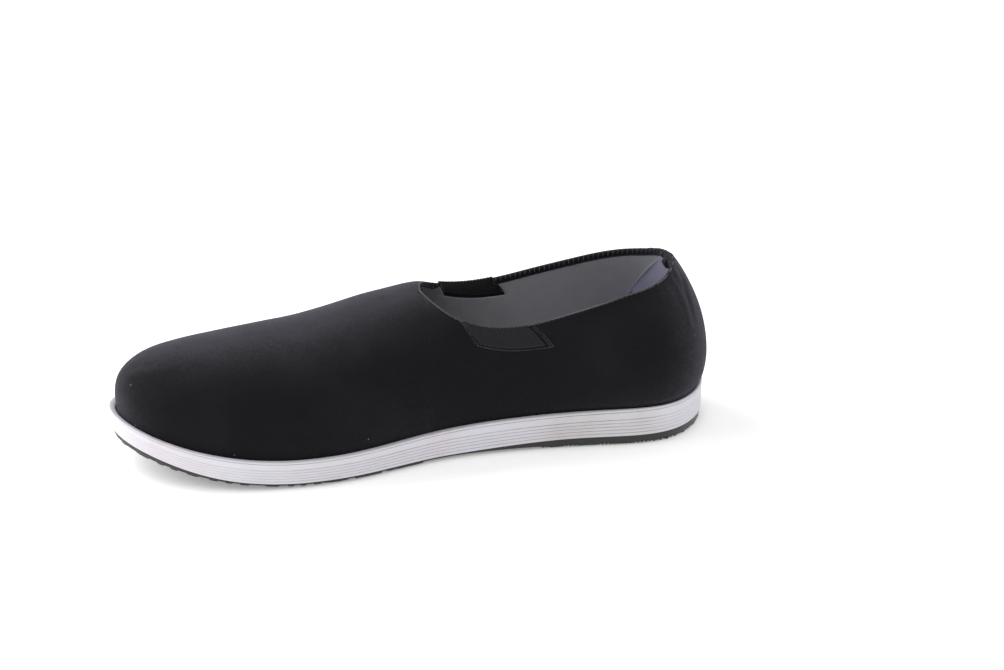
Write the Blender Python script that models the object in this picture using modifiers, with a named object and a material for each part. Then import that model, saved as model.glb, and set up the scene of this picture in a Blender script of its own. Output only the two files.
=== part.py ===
"""Right shoe of a pair of black cotton slip-on cloth shoes, standing empty on its sole.

The toe points to -Y and the heel to +Y. The medial side is +X, and the floor is Z = 0.
Everything is worked out from the tread outline, the ridge of the vamp and the topline,
which are short tables in metres.
"""

import math

import bmesh
import bpy
import numpy as np

# Driving sizes, in metres
GAP = 0.0003              # clearance between pieces that touch
COLUMNS = 36              # stations along each side, toe to heel
TOE_SPRING = 0.0132       # rise of the tread at the toe end
SPRING_START_Y = -0.060   # the tread lies flat behind this line
SPRING_RUN = 0.080
ARCH_RISE = 0.0010        # the waist clears the floor by this much

BAND_TOP_BALL = 0.0131    # top of the white band over the floor, at the ball
BAND_TOP_HEEL = 0.0184    # the same at the heel
TREAD_EDGE_BALL = 0.0020  # thickness of the black edge at the ball
TREAD_EDGE_HEEL = 0.0044  # the same at the heel
LUG_DEPTH = 0.0014        # how far the lugs stand out of the tread plate
BAND_GROW = 0.0020        # the white band stands this far outside the tread
TOE_FLARE = 0.0020        # and its top this much further at the toe
FLARE_REACH = (0.095, 0.140)   # the flare grows between these distances ahead of the origin
LIP_AT_TOE = 0.0030       # rim of the band around the foot of the upper
LIP_AT_HEEL = 0.0014
LIP_REACH = (0.050, 0.125)     # the rim narrows between these stations
LIP_HEIGHT = 0.0040       # depth of the cup that the upper stands in
RIB_COUNT = 5
RIB_DEPTH = 0.0005
BEAD_SHARE = 0.13         # smooth bead at the top of the band, as a share of its height

UPPER_WALL = 0.0020
TONGUE_COLUMNS = 4        # stations of the wall along the edge of the tongue
TONGUE_SHARE = 0.036      # share of the foot line that they take
GORE_WALL = 0.0014
INSOLE_THICKNESS = 0.0030
PLUG_RADIUS = 0.0023
PLUG_PLACE = (-0.0056, 0.0830)
PLUG_SIDES = 20
SHIFT_TO_ORIGIN = (0.0037, 0.0001)   # brings the middle of the shoe over the origin

# Tread outline: station along the length, medial and lateral half widths
TREAD_ROWS = (
    # y, medial, lateral
    (0.118, 0.0346, 0.0317),
    (0.085, 0.0359, 0.0371),
    (0.045, 0.0324, 0.0401),
    (0.005, 0.0343, 0.0489),
    (-0.040, 0.0457, 0.0548),
    (-0.080, 0.0463, 0.0463),
    (-0.112, 0.0373, 0.0345),
)
HEEL_END = (0.0, 0.140)
TOE_END = (0.0052, -0.140)

# Ridge of the vamp, from the toe end to the middle of the tongue
RIDGE_ROWS = (
    # x, y, z
    (0.0052, -0.1407, 0.0262),
    (0.0052, -0.1402, 0.0350),
    (0.0050, -0.1376, 0.0432),
    (0.0048, -0.1325, 0.0488),
    (0.0045, -0.1240, 0.0528),
    (0.0042, -0.1120, 0.0546),
    (0.0035, -0.0950, 0.0557),
    (0.0020, -0.0700, 0.0574),
    (0.0005, -0.0480, 0.0587),
    (-0.0005, -0.0340, 0.0612),
    (-0.0010, -0.0190, 0.0651),
    (-0.0010, 0.0040, 0.0708),
)
# Topline from the middle of the tongue round to the back of the heel
TOPLINE_ROWS = (
    # y, medial, lateral, z
    (0.0040, -0.0010, 0.0010, 0.0708),
    (0.0055, 0.0070, 0.0090, 0.0705),
    (0.0080, 0.0128, 0.0148, 0.0692),
    (0.0120, 0.0178, 0.0200, 0.0668),
    (0.0175, 0.0216, 0.0243, 0.0642),
    (0.0250, 0.0245, 0.0277, 0.0620),
    (0.0350, 0.0267, 0.0299, 0.0609),
    (0.0480, 0.0280, 0.0311, 0.0616),
    (0.0660, 0.0284, 0.0306, 0.0650),
    (0.0850, 0.0276, 0.0288, 0.0690),
    (0.1000, 0.0263, 0.0262, 0.0723),
    (0.1110, 0.0232, 0.0230, 0.0741),
    (0.1185, 0.0175, 0.0175, 0.0758),
    (0.1240, 0.0095, 0.0095, 0.0783),
    (0.1262, 0.0000, 0.0000, 0.0796),
)
# Form of the wall at places along the length of its foot
WALL_ROWS = (
    # y, fullness, bulge
    (-0.140, 2.30, 0.0000),
    (-0.100, 2.30, 0.0000),
    (-0.060, 2.25, 0.0005),
    (-0.025, 2.30, 0.0010),
    (0.010, 2.55, 0.0015),
    (0.060, 2.40, 0.0020),
    (0.110, 2.30, 0.0034),
    (0.140, 2.40, 0.0040),
)
QUARTER_ANGLE = 0.52      # how far round its arc the wall goes at the heel, of a quarter turn
TOPLINE_EVENNESS = 0.80   # below 1, the tongue edge takes more stations of the foot line
BULGE_LOWNESS = 0.62      # below 1, the wall swells out nearer its foot
TOE_SWELL = 0.0014        # the toe of the cloth swells out this much over the band
TOE_SWELL_HEIGHT = 0.030
TOE_SWELL_REACH = (0.115, 0.140)
HEEL_FORM = (0.020, 0.080)     # between these stations the wall takes its form of the heel
WALL_LEVELS = 11

# Elastic gores, as shares of the topline and of the wall height
GORE_START = 0.115
GORE_END = 0.250
GORE_FOOT = 0.62
GORE_RUN = 0.170          # length of the foot line behind the throat
GORE_STATIONS = 5

# Zigzag tread bars
HEEL_FOLD = 0.0270        # one full wave across the heel
HEEL_WAVE = 0.0070        # height of its folds
HEEL_BAR = 0.0100
HEEL_BAR_TOPS = (0.1045, 0.0880, 0.0717)
HEEL_PEAKS = (-0.0039, -0.0045, -0.0052)
HEEL_PATCH_Y = 0.1075
HEEL_BREAST_Y = 0.0580
FORE_FOLD = 0.0275
FORE_WAVE = 0.0078
FORE_BAR = 0.0112
FORE_PITCH = 0.0182
FORE_FIRST_TOP = -0.0035
FORE_BARS = 5
FORE_PEAK = -0.0188
FORE_DRIFT = 0.0010       # each bar's folds sit this much further across
WAIST_PATCH = (0.0045, 0.0480)


def clear_scene() -> None:
    """Remove what the scene holds, so that only the shoe is in it."""
    for old in list(bpy.data.objects):
        bpy.data.objects.remove(old, do_unlink=True)


def collection(name: str) -> bpy.types.Collection:
    made = bpy.data.collections.new(name)
    bpy.context.scene.collection.children.link(made)
    return made


def material(name: str, colour: tuple, roughness: float) -> bpy.types.Material:
    made = bpy.data.materials.new(name)
    made.use_nodes = True
    shader = made.node_tree.nodes["Principled BSDF"]
    shader.inputs["Base Color"].default_value = (*colour, 1.0)
    shader.inputs["Roughness"].default_value = roughness
    shader.inputs["Metallic"].default_value = 0.0
    made.diffuse_color = (*colour, 1.0)
    return made


def ease(value, start: float, end: float):
    """Smooth step from 0 at start to 1 at end."""
    share = np.clip((np.asarray(value) - start) / (end - start), 0.0, 1.0)
    return share * share * (3.0 - 2.0 * share)


def rows(table: tuple) -> np.ndarray:
    return np.array(table, dtype=float)


def spline(points: np.ndarray, closed: bool):
    """Cubic spline through points, as a function of the share of its chord length."""
    if closed:
        points = np.vstack([points, points[:1]])
    steps = np.linalg.norm(np.diff(points, axis=0), axis=1)
    knots = np.concatenate([[0.0], np.cumsum(steps)]) / steps.sum()
    count = len(points)
    width = np.diff(knots)
    slopes = np.diff(points, axis=0) / width[:, None]
    matrix = np.zeros((count, count))
    right = np.zeros_like(points)
    for k in range(1, count - 1):
        matrix[k, k - 1] = width[k - 1]
        matrix[k, k] = 2.0 * (width[k - 1] + width[k])
        matrix[k, k + 1] = width[k]
        right[k] = 6.0 * (slopes[k] - slopes[k - 1])
    if closed:
        matrix[0, 0], matrix[0, -1] = 1.0, -1.0
        matrix[-1, 0] = 2.0 * width[0]
        matrix[-1, 1] = width[0]
        matrix[-1, -2] = width[-1]
        matrix[-1, -1] = 2.0 * width[-1]
        right[-1] = 6.0 * (slopes[0] - slopes[-1])
    else:
        matrix[0, 0] = matrix[-1, -1] = 1.0
    bends = np.linalg.solve(matrix, right)

    def at(share):
        share = np.atleast_1d(np.asarray(share, dtype=float))
        k = np.clip(np.searchsorted(knots, share, side="right") - 1, 0, count - 2)
        h = width[k][:, None]
        a = (knots[k + 1] - share)[:, None]
        b = (share - knots[k])[:, None]
        return (
            bends[k] * a**3 / (6 * h)
            + bends[k + 1] * b**3 / (6 * h)
            + (points[k] / h - bends[k] * h / 6) * a
            + (points[k + 1] / h - bends[k + 1] * h / 6) * b
        )

    return at


def spring(y):
    """Height of the tread over the floor: flat, then rising to the toe."""
    ahead = np.clip((SPRING_START_Y - np.asarray(y)) / SPRING_RUN, 0.0, None)
    return TOE_SPRING * ahead**2


def arch(y):
    """Lift of the waist between heel and ball."""
    return ARCH_RISE * ease(y, -0.004, 0.006) * (1.0 - ease(y, 0.046, 0.060))


def band_top(y):
    return BAND_TOP_BALL + (BAND_TOP_HEEL - BAND_TOP_BALL) * ease(y, -0.060, 0.110) + spring(y)


def tread_edge(y):
    return TREAD_EDGE_BALL + (TREAD_EDGE_HEEL - TREAD_EDGE_BALL) * ease(y, 0.010, 0.075) + spring(y)


def tread_ring(columns: int) -> np.ndarray:
    """Tread outline: toe end, up the medial side, heel end, back down the lateral side."""
    table = rows(TREAD_ROWS)
    medial = table[::-1][:, [1, 0]]
    lateral = table[:, [2, 0]] * (-1.0, 1.0)
    points = np.vstack([[TOE_END], medial, [HEEL_END], lateral])
    dense = spline(points, closed=True)(np.linspace(0.0, 1.0, 1441)[:-1])
    heel = int(np.argmin(np.linalg.norm(dense - HEEL_END, axis=1)))
    sides = (dense[: heel + 1], np.vstack([dense[heel:], dense[:1]])[::-1])
    # Stations lie closer together round the toe and the heel
    even = np.linspace(0.0, 1.0, columns + 1)
    share = even - 0.045 * np.sin(2.0 * math.pi * even)
    ring = []
    for side in sides:
        run = np.concatenate([[0.0], np.cumsum(np.linalg.norm(np.diff(side, axis=0), axis=1))])
        ring.append(np.column_stack([np.interp(share * run[-1], run, side[:, k]) for k in (0, 1)]))
    return np.vstack([ring[0], ring[1][-2:0:-1]])


def outward(ring: np.ndarray) -> np.ndarray:
    """Unit vectors that point out of a ring running this way round."""
    along = np.roll(ring, -1, axis=0) - np.roll(ring, 1, axis=0)
    out = np.column_stack([along[:, 1], -along[:, 0]])
    return out / np.linalg.norm(out, axis=1)[:, None]


def grown(ring: np.ndarray, distance) -> np.ndarray:
    return ring + outward(ring) * np.broadcast_to(distance, (len(ring),))[:, None]


def band_ring(ring: np.ndarray, distance, up: float = 1.0) -> np.ndarray:
    """Ring inside (-) or outside (+) the outer face of the white band, at a share of its height."""
    flare = TOE_FLARE * up * ease(-ring[:, 1], *FLARE_REACH)
    return grown(ring, BAND_GROW + flare + distance)


def lip(y):
    """Width of the rim of the band."""
    return LIP_AT_TOE + (LIP_AT_HEEL - LIP_AT_TOE) * ease(y, *LIP_REACH)


def with_height(ring: np.ndarray, height) -> np.ndarray:
    return np.column_stack([ring, np.broadcast_to(height, (len(ring),))])


def finish_object(name, mesh_builder, look, group, smooth=True):
    """Make an object from a filled bmesh."""
    mesh = bpy.data.meshes.new(name)
    bmesh.ops.recalc_face_normals(mesh_builder, faces=mesh_builder.faces[:])
    mesh_builder.to_mesh(mesh)
    mesh_builder.free()
    if smooth:
        mesh.shade_smooth()
        mesh.set_sharp_from_angle(angle=math.radians(35.0))
    made = bpy.data.objects.new(name, mesh)
    if look is not None:
        mesh.materials.append(look)
    group.objects.link(made)
    return made


def stacked_rings(rings: list) -> bmesh.types.BMesh:
    """Solid through a stack of rings, its two ends closed by rungs across the foot."""
    built = bmesh.new()
    stack = [[built.verts.new(point) for point in ring] for ring in rings]
    count = len(stack[0])
    for low, high in zip(stack, stack[1:]):
        for k in range(count):
            after = (k + 1) % count
            built.faces.new((low[k], low[after], high[after], high[k]))
    for ring, turn in ((stack[0], -1), (stack[-1], 1)):
        for k in range(count // 2):
            rung = [ring[k], ring[k + 1], ring[(count - k - 1) % count], ring[(count - k) % count]]
            corners = list(dict.fromkeys(rung))
            built.faces.new(corners[::turn])
    return built


def apply_modifiers(made, look):
    """Turn an object's evaluated shape into its own mesh."""
    graph = bpy.context.evaluated_depsgraph_get()
    solid = bpy.data.meshes.new_from_object(made.evaluated_get(graph))
    made.modifiers.clear()
    made.data = solid
    solid.materials.clear()
    solid.materials.append(look)


def boolean(made, other, operation: str) -> None:
    step = made.modifiers.new(other.name, "BOOLEAN")
    step.operation = operation
    step.solver = "EXACT"
    step.object = other


def prism(name, outline, low, high, group):
    """Upright prism on a flat outline."""
    built = bmesh.new()
    base = [built.verts.new((x, y, low)) for x, y in outline]
    face = built.faces.new(base)
    raised = bmesh.ops.extrude_face_region(built, geom=[face])["geom"]
    moved = [item for item in raised if isinstance(item, bmesh.types.BMVert)]
    bmesh.ops.translate(built, verts=moved, vec=(0.0, 0.0, high - low))
    return finish_object(name, built, None, group, smooth=False)


def zigzag(top: float, fold: float, wave: float, peak: float, reach: float = 0.075) -> list:
    """Folded line across the sole, from the lateral side to the medial side."""
    first = math.floor((-reach - peak) / (fold / 2.0))
    last = math.ceil((reach - peak) / (fold / 2.0))
    return [(peak + k * fold / 2.0, top - wave * (k % 2)) for k in range(first, last + 1)]


def bar(top: float, thick: float, fold: float, wave: float, peak: float) -> list:
    upper_line = zigzag(top, fold, wave, peak)
    return upper_line + [(x, y - thick) for x, y in reversed(upper_line)]


def straight_line(y: float, like: list) -> list:
    """Straight line across the sole with the ends of a folded one."""
    return [(like[0][0], y), (like[-1][0], y)]


def tread_blocks() -> dict:
    """Outlines of the blocks that stand out of the tread plate, heel to toe."""
    blocks = {}
    ends = zigzag(0.0, HEEL_FOLD, 0.0, 0.0)
    blocks["heel_patch"] = straight_line(HEEL_PATCH_Y, ends) + straight_line(0.160, ends)[::-1]
    for k, (top, peak) in enumerate(zip(HEEL_BAR_TOPS, HEEL_PEAKS)):
        outline = bar(top, HEEL_BAR, HEEL_FOLD, HEEL_WAVE, peak)
        if k == len(HEEL_BAR_TOPS) - 1:
            line = zigzag(top, HEEL_FOLD, HEEL_WAVE, peak)
            outline = line + straight_line(HEEL_BREAST_Y, line)[::-1]
        blocks[f"heel_bar_{k + 1}"] = outline
    low, high = WAIST_PATCH
    blocks["waist_patch"] = straight_line(low, ends) + straight_line(high, ends)[::-1]
    for k in range(FORE_BARS):
        top = FORE_FIRST_TOP - k * FORE_PITCH
        blocks[f"fore_bar_{k + 1}"] = bar(top, FORE_BAR, FORE_FOLD, FORE_WAVE, FORE_PEAK + k * FORE_DRIFT)
    last = zigzag(
        FORE_FIRST_TOP - FORE_BARS * FORE_PITCH, FORE_FOLD, FORE_WAVE, FORE_PEAK + FORE_BARS * FORE_DRIFT
    )
    blocks["toe_patch"] = last + straight_line(-0.160, last)[::-1]
    return blocks


def make_outsole(ring, look, group, helpers):
    """Black tread: a plate with zigzag bars, bent up at the toe and lifted at the waist."""
    plate_low = LUG_DEPTH
    plate = finish_object(
        "outsole",
        stacked_rings(
            [
                with_height(grown(ring, -0.0006), plate_low),
                with_height(ring, plate_low + 0.0004),
                with_height(ring, tread_edge(ring[:, 1]) - spring(ring[:, 1])),
            ]
        ),
        look,
        group,
        smooth=False,
    )
    clip = finish_object(
        "tread_clip",
        stacked_rings(
            [
                with_height(grown(ring, -0.0010), -0.0010),
                with_height(grown(ring, -0.0010), 0.0100),
            ]
        ),
        None,
        helpers,
        smooth=False,
    )
    hole = prism("plug_hole", circle(PLUG_PLACE, PLUG_RADIUS + GAP, PLUG_SIDES), -0.0010, 0.0100, helpers)
    for name, outline in tread_blocks().items():
        block = prism(f"cut_{name}", outline, 0.0, plate_low + 0.0003, helpers)
        boolean(block, clip, "INTERSECT")
        bpy.context.view_layer.update()
        apply_modifiers(block, look)
        boolean(plate, block, "UNION")
    boolean(plate, hole, "DIFFERENCE")
    bpy.context.view_layer.update()
    apply_modifiers(plate, look)
    bend_to_floor(plate)
    for helper in helpers.objects:
        helper.hide_render = True
        helper.hide_set(True)
        helper.display_type = "WIRE"
    return plate


def bend_to_floor(made) -> None:
    """Move each point of the flat tread up by the toe spring and the arch."""
    built = bmesh.new()
    built.from_mesh(made.data)
    bmesh.ops.triangulate(built, faces=built.faces[:])
    for vert in built.verts:
        y = vert.co.y
        lift = float(spring(y))
        if vert.co.z < LUG_DEPTH * 0.5:
            lift += float(arch(y))
        vert.co.z += lift
    built.to_mesh(made.data)
    built.free()


def circle(place, radius: float, count: int) -> list:
    step = 2.0 * math.pi / count
    return [
        (place[0] + radius * math.cos(k * step), place[1] + radius * math.sin(k * step))
        for k in range(count)
    ]


def band_profile() -> list:
    """Outer face of the white band, as (inset, share of its height): ribs, groove and bead."""
    profile = [(-0.0008, 0.0)]
    rib_top = 1.0 - BEAD_SHARE
    pitch = rib_top / RIB_COUNT
    for k in range(RIB_COUNT):
        foot = k * pitch
        profile.append((-0.0002, foot + 0.18 * pitch))
        profile.append((-0.0002, foot + 0.72 * pitch))
        profile.append((-0.0002 - RIB_DEPTH, foot + 0.95 * pitch))
    profile.append((0.0, rib_top + 0.03))
    profile.append((0.0, 0.97))
    profile.append((-0.0005, 1.0))
    return profile


def make_midsole(ring, look, group):
    """White band and the cup inside it, one moulding."""
    rings = []
    for inset, share in band_profile():
        outer = band_ring(ring, inset, share)
        low = tread_edge(outer[:, 1]) + GAP
        rings.append(with_height(outer, low + (band_top(outer[:, 1]) - low) * share))
    inner = band_ring(ring, -lip(ring[:, 1]))
    rings.append(with_height(inner, band_top(inner[:, 1])))
    rings.append(with_height(inner, band_top(inner[:, 1]) - LIP_HEIGHT))
    return finish_object("midsole", stacked_rings(rings), look, group)


class Last:
    """Form of the foot that the upper is drawn over."""

    def __init__(self):
        ring = tread_ring(240)
        foot = band_ring(ring, -lip(ring[:, 1]) - GAP)
        half = len(foot) // 2
        both = np.column_stack([foot, outward(foot)])
        self.sides = {1: both[: half + 1], -1: np.vstack([both[half:], both[:1]])[::-1]}
        self.shares = np.linspace(0.0, 1.0, half + 1)
        dense = spline(rows(RIDGE_ROWS), closed=False)(np.linspace(0.0, 1.0, 400))
        self.ridge = dense[np.argsort(dense[:, 1])]
        table = rows(TOPLINE_ROWS)
        self.topline = {
            1: spline(table[:, [1, 0, 3]], closed=False),
            -1: spline(table[:, [2, 0, 3]] * (-1.0, 1.0, 1.0), closed=False),
        }
        middle = (self.sides[1][:, 1] + self.sides[-1][:, 1]) / 2.0
        self.throat = float(np.interp(TOPLINE_ROWS[0][0], middle, self.shares))
        self.stations = self.spaced_stations()

    def spaced_stations(self) -> np.ndarray:
        """Shares of the columns: even, with the throat on one and more along the tongue edge."""
        ahead = int(round(COLUMNS * self.throat)) + 1
        front = np.linspace(0.0, 1.0, ahead)
        tongue = np.linspace(0.0, 1.0, TONGUE_COLUMNS + 1)[1:]
        back = np.linspace(0.0, 1.0, COLUMNS - ahead)[1:]
        edge = self.throat + TONGUE_SHARE
        return np.concatenate([front * self.throat, self.throat + tongue * TONGUE_SHARE, edge + back * (1.0 - edge)])

    def foot(self, share, side: int):
        """Foot of the wall and the direction out of it."""
        line = self.sides[side]
        found = np.column_stack([np.interp(share, self.shares, line[:, k]) for k in range(4)])
        return found[:, :2], found[:, 2:]

    def crest(self, share, side: int):
        """Top of the wall: the ridge ahead of the throat, the topline behind it."""
        share = np.asarray(share, dtype=float)
        middle = (self.foot(share, 1)[0][:, 1] + self.foot(share, -1)[0][:, 1]) / 2.0
        on_ridge = np.column_stack([np.interp(middle, self.ridge[:, 1], self.ridge[:, k]) for k in range(3)])
        behind = np.clip((share - self.throat) / (1.0 - self.throat), 0.0, 1.0)
        on_top = self.topline[side](behind**TOPLINE_EVENNESS)
        return np.where((share <= self.throat)[:, None], on_ridge, on_top)

    def turn(self, share, place, crest, full):
        """How far round its arc each column goes: a quarter turn under the ridge, less at the sides."""
        middle = np.interp(place[:, 1], self.ridge[:, 1], self.ridge[:, 0])
        across = np.abs(crest[:, 0] - middle) / np.maximum(np.abs(place[:, 0] - middle), 1e-6)
        by_width = np.arccos(np.clip(across, 0.0, 0.95) ** (full / 2.0))
        by_width = np.where(share <= self.throat, math.pi / 2.0, by_width)
        heel = ease(place[:, 1], *HEEL_FORM)
        return by_width * (1.0 - heel) + QUARTER_ANGLE * math.pi / 2.0 * heel

    def wall(self, share, levels, side: int, inset: float = 0.0):
        """Grid of points up the wall: one row for each share, one column for each level."""
        share = np.atleast_1d(np.asarray(share, dtype=float))
        place, away = self.foot(share, side)
        crest = self.crest(share, side)
        table = rows(WALL_ROWS)
        full = np.interp(place[:, 1], table[:, 0], table[:, 1])
        bulge = np.interp(place[:, 1], table[:, 0], table[:, 2])[:, None]
        turn = self.turn(share, place, crest, full)[:, None]
        power = (2.0 / full)[:, None]
        angle = np.asarray(levels, dtype=float)[None, :] * turn
        lean = (1.0 - np.cos(angle) ** power) / (1.0 - np.clip(np.cos(turn), 0.0, 1.0) ** power)
        rise = np.sin(angle) ** power / np.sin(turn) ** power
        push = bulge * np.sin(math.pi * np.clip(rise, 0.0, 1.0) ** BULGE_LOWNESS) - inset
        low = band_top(place[:, 1])[:, None] + GAP
        x = place[:, 0, None] + (crest[:, 0, None] - place[:, 0, None]) * lean + away[:, 0, None] * push
        y = place[:, 1, None] + (crest[:, 1, None] - place[:, 1, None]) * lean + away[:, 1, None] * push
        z = low + (crest[:, 2, None] - low) * rise
        swell = np.sin(math.pi * np.clip((z - low) / TOE_SWELL_HEIGHT, 0.0, 1.0))
        y = y - TOE_SWELL * swell * ease(-y, *TOE_SWELL_REACH)
        return np.stack([x, y, z], axis=2)

    def footing(self, share, side: int):
        """Lowest points of the wall, inside the cup of the sole."""
        place, _ = self.foot(share, side)
        return with_height(place, band_top(place[:, 1]) - LIP_HEIGHT + GAP)


def wall_solid(name, built, thickness, look, group):
    """Close an open surface into a wall of even thickness, inwards."""
    made = finish_object(name, built, look, group)
    shell = made.modifiers.new("wall", "SOLIDIFY")
    shell.thickness = thickness
    shell.offset = -1.0
    shell.use_even_offset = False
    shell.use_rim = True
    return made


def make_upper(last: Last, look, group):
    """One cloth wall: vamp, tongue and quarters, open at the topline, the gores and below."""
    share = last.stations
    throat_column = int(np.argmin(np.abs(share - last.throat)))
    levels = np.linspace(0.0, 1.0, WALL_LEVELS)
    built = bmesh.new()
    grids = {}
    for side in (1, -1):
        points = np.concatenate([last.footing(share, side)[:, None, :], last.wall(share, levels, side)], axis=1)
        grid = []
        for i, column in enumerate(points):
            line = []
            for j, point in enumerate(column):
                shared = i == 0 or i == len(share) - 1 or (j == WALL_LEVELS and i <= throat_column)
                if side == -1 and shared:
                    line.append(grids[1][i][j])
                else:
                    line.append(built.verts.new(point))
            grid.append(line)
        grids[side] = grid
    for side, grid in grids.items():
        for i in range(len(share) - 1):
            for j in range(WALL_LEVELS):
                if inside_gore(share[i], share[i + 1], levels[j - 1] if j else 0.0, last):
                    continue
                corners = list(dict.fromkeys((grid[i][j], grid[i + 1][j], grid[i + 1][j + 1], grid[i][j + 1])))
                built.faces.new(corners[::side])
    bmesh.ops.delete(built, geom=[v for v in built.verts if not v.link_faces], context="VERTS")
    return wall_solid("upper", built, UPPER_WALL, look, group)


def gore_edges(last: Last) -> tuple:
    """First and last station of a gore, rounded to the columns of the wall."""
    behind = 1.0 - last.throat
    first = int(np.searchsorted(last.stations, last.throat + GORE_START * behind))
    final = int(np.searchsorted(last.stations, last.throat + GORE_END * behind))
    return last.stations[first], last.stations[final]


def inside_gore(low_share: float, high_share: float, level: float, last: Last) -> bool:
    first, final = gore_edges(last)
    return low_share >= first - 1e-9 and high_share <= final + 1e-9 and level >= GORE_FOOT - 1e-9


def make_gore(last: Last, side: int, name: str, look, group):
    """Elastic panel that fills the notch between the tongue and a quarter."""
    first, final = gore_edges(last)
    trim = GAP * 1.5 / GORE_RUN
    share = np.linspace(first + trim, final - trim, GORE_STATIONS)
    foot_level = math.ceil(GORE_FOOT * (WALL_LEVELS - 1)) / (WALL_LEVELS - 1)
    levels = np.linspace(foot_level + 0.010, 0.992, GORE_STATIONS)
    points = last.wall(share, levels, side, inset=GAP)
    built = bmesh.new()
    grid = [[built.verts.new(point) for point in column] for column in points]
    for i in range(len(grid) - 1):
        for j in range(len(grid[0]) - 1):
            corners = (grid[i][j], grid[i + 1][j], grid[i + 1][j + 1], grid[i][j + 1])
            built.faces.new(corners[::side])
    return wall_solid(name, built, GORE_WALL, look, group)


def make_insole(ring, look, group):
    """Cloth-covered insole lying in the cup, inside the wall of the upper."""
    edge = -lip(ring[:, 1]) - GAP - UPPER_WALL - 2.0 * GAP
    rings = []
    for inset, lift in ((0.0004, 0.0), (0.0, 0.0006), (0.0, 0.0022), (0.0010, INSOLE_THICKNESS)):
        line = band_ring(ring, edge - inset)
        rings.append(with_height(line, band_top(line[:, 1]) - LIP_HEIGHT + GAP + lift))
    return finish_object("insole", stacked_rings(rings), look, group)


def make_plug(look, group):
    """White moulding plug that fills the hole in the heel of the tread."""
    low, high = 0.0003, float(tread_edge(PLUG_PLACE[1]))
    bpy.ops.mesh.primitive_cylinder_add(
        vertices=PLUG_SIDES, radius=PLUG_RADIUS, depth=high - low, location=(*PLUG_PLACE, (low + high) / 2.0)
    )
    made = bpy.context.object
    made.name = "sole_plug"
    made.data.materials.append(look)
    made.data.shade_smooth()
    made.data.set_sharp_from_angle(angle=math.radians(35.0))
    for holder in list(made.users_collection):
        holder.objects.unlink(made)
    group.objects.link(made)
    return made


def centre_on_origin(group) -> None:
    """Move every piece so that the middle of the shoe stands over the origin."""
    for made in group.objects:
        made.location.x += SHIFT_TO_ORIGIN[0]
        made.location.y += SHIFT_TO_ORIGIN[1]


def main() -> None:
    clear_scene()
    shoe = collection("cloth_shoe")
    helpers = collection("cutters")
    black_rubber = material("black_rubber", (0.020, 0.020, 0.023), 0.62)
    white_rubber = material("white_rubber", (0.62, 0.61, 0.66), 0.55)
    black_cotton = material("black_cotton", (0.012, 0.012, 0.015), 0.95)
    black_elastic = material("black_elastic", (0.016, 0.016, 0.018), 0.90)
    grey_lining = material("grey_lining", (0.14, 0.15, 0.20), 0.95)
    ring = tread_ring(COLUMNS)
    make_outsole(ring, black_rubber, shoe, helpers)
    make_midsole(ring, white_rubber, shoe)
    make_plug(white_rubber, shoe)
    last = Last()
    make_upper(last, black_cotton, shoe)
    make_gore(last, 1, "elastic_gore_medial", black_elastic, shoe)
    make_gore(last, -1, "elastic_gore_lateral", black_elastic, shoe)
    make_insole(ring, grey_lining, shoe)
    centre_on_origin(shoe)


main()
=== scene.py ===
"""Looks of one black cotton slip-on shoe, the right one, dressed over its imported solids.

The toe points to -Y, the heel to +Y and the medial side to +X. All sizes are in metres.
The form of the sole and of the last repeats the named sizes of the solids, at a finer step.
"""

import logging
import math
from collections.abc import Callable
from dataclasses import dataclass, field
from enum import Enum

import bmesh
import bpy
import numpy as np
from mathutils import Matrix
from mathutils.bvhtree import BVHTree


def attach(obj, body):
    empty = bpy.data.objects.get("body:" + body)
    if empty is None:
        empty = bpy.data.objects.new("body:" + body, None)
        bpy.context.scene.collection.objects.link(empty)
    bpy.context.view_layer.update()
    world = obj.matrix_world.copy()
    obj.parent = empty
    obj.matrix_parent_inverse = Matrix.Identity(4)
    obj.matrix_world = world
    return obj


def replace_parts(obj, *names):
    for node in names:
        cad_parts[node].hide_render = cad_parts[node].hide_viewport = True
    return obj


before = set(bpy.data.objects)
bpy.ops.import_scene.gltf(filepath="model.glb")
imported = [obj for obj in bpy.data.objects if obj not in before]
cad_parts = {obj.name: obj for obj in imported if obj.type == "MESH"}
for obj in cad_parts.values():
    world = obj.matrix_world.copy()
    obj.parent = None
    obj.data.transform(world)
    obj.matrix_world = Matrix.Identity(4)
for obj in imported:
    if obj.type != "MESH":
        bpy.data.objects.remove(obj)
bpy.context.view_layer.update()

BODY = "root"
log = logging.getLogger("cloth_shoe")

Colour = tuple[float, float, float]
Point = tuple[float, float, float]
Marks = dict[str, np.ndarray]


class Side(Enum):
    """The two sides of a right shoe, by the sign of X."""

    MEDIAL = 1
    LATERAL = -1


class Slot(Enum):
    """Material slots of the record."""

    TREAD = "black_rubber"
    BAND = "white_rubber"
    COTTON = "black_cotton"
    ELASTIC = "black_elastic"
    LINING = "grey_lining"


def ease(value: np.ndarray, start: float, end: float) -> np.ndarray:
    """Smooth step from 0 at start to 1 at end."""
    share = np.clip((np.asarray(value, dtype=float) - start) / (end - start), 0.0, 1.0)
    return share * share * (3.0 - 2.0 * share)


def unit(vectors: np.ndarray) -> np.ndarray:
    """Vectors of length 1 along the last axis."""
    return vectors / np.maximum(np.linalg.norm(vectors, axis=-1, keepdims=True), 1e-12)


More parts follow.
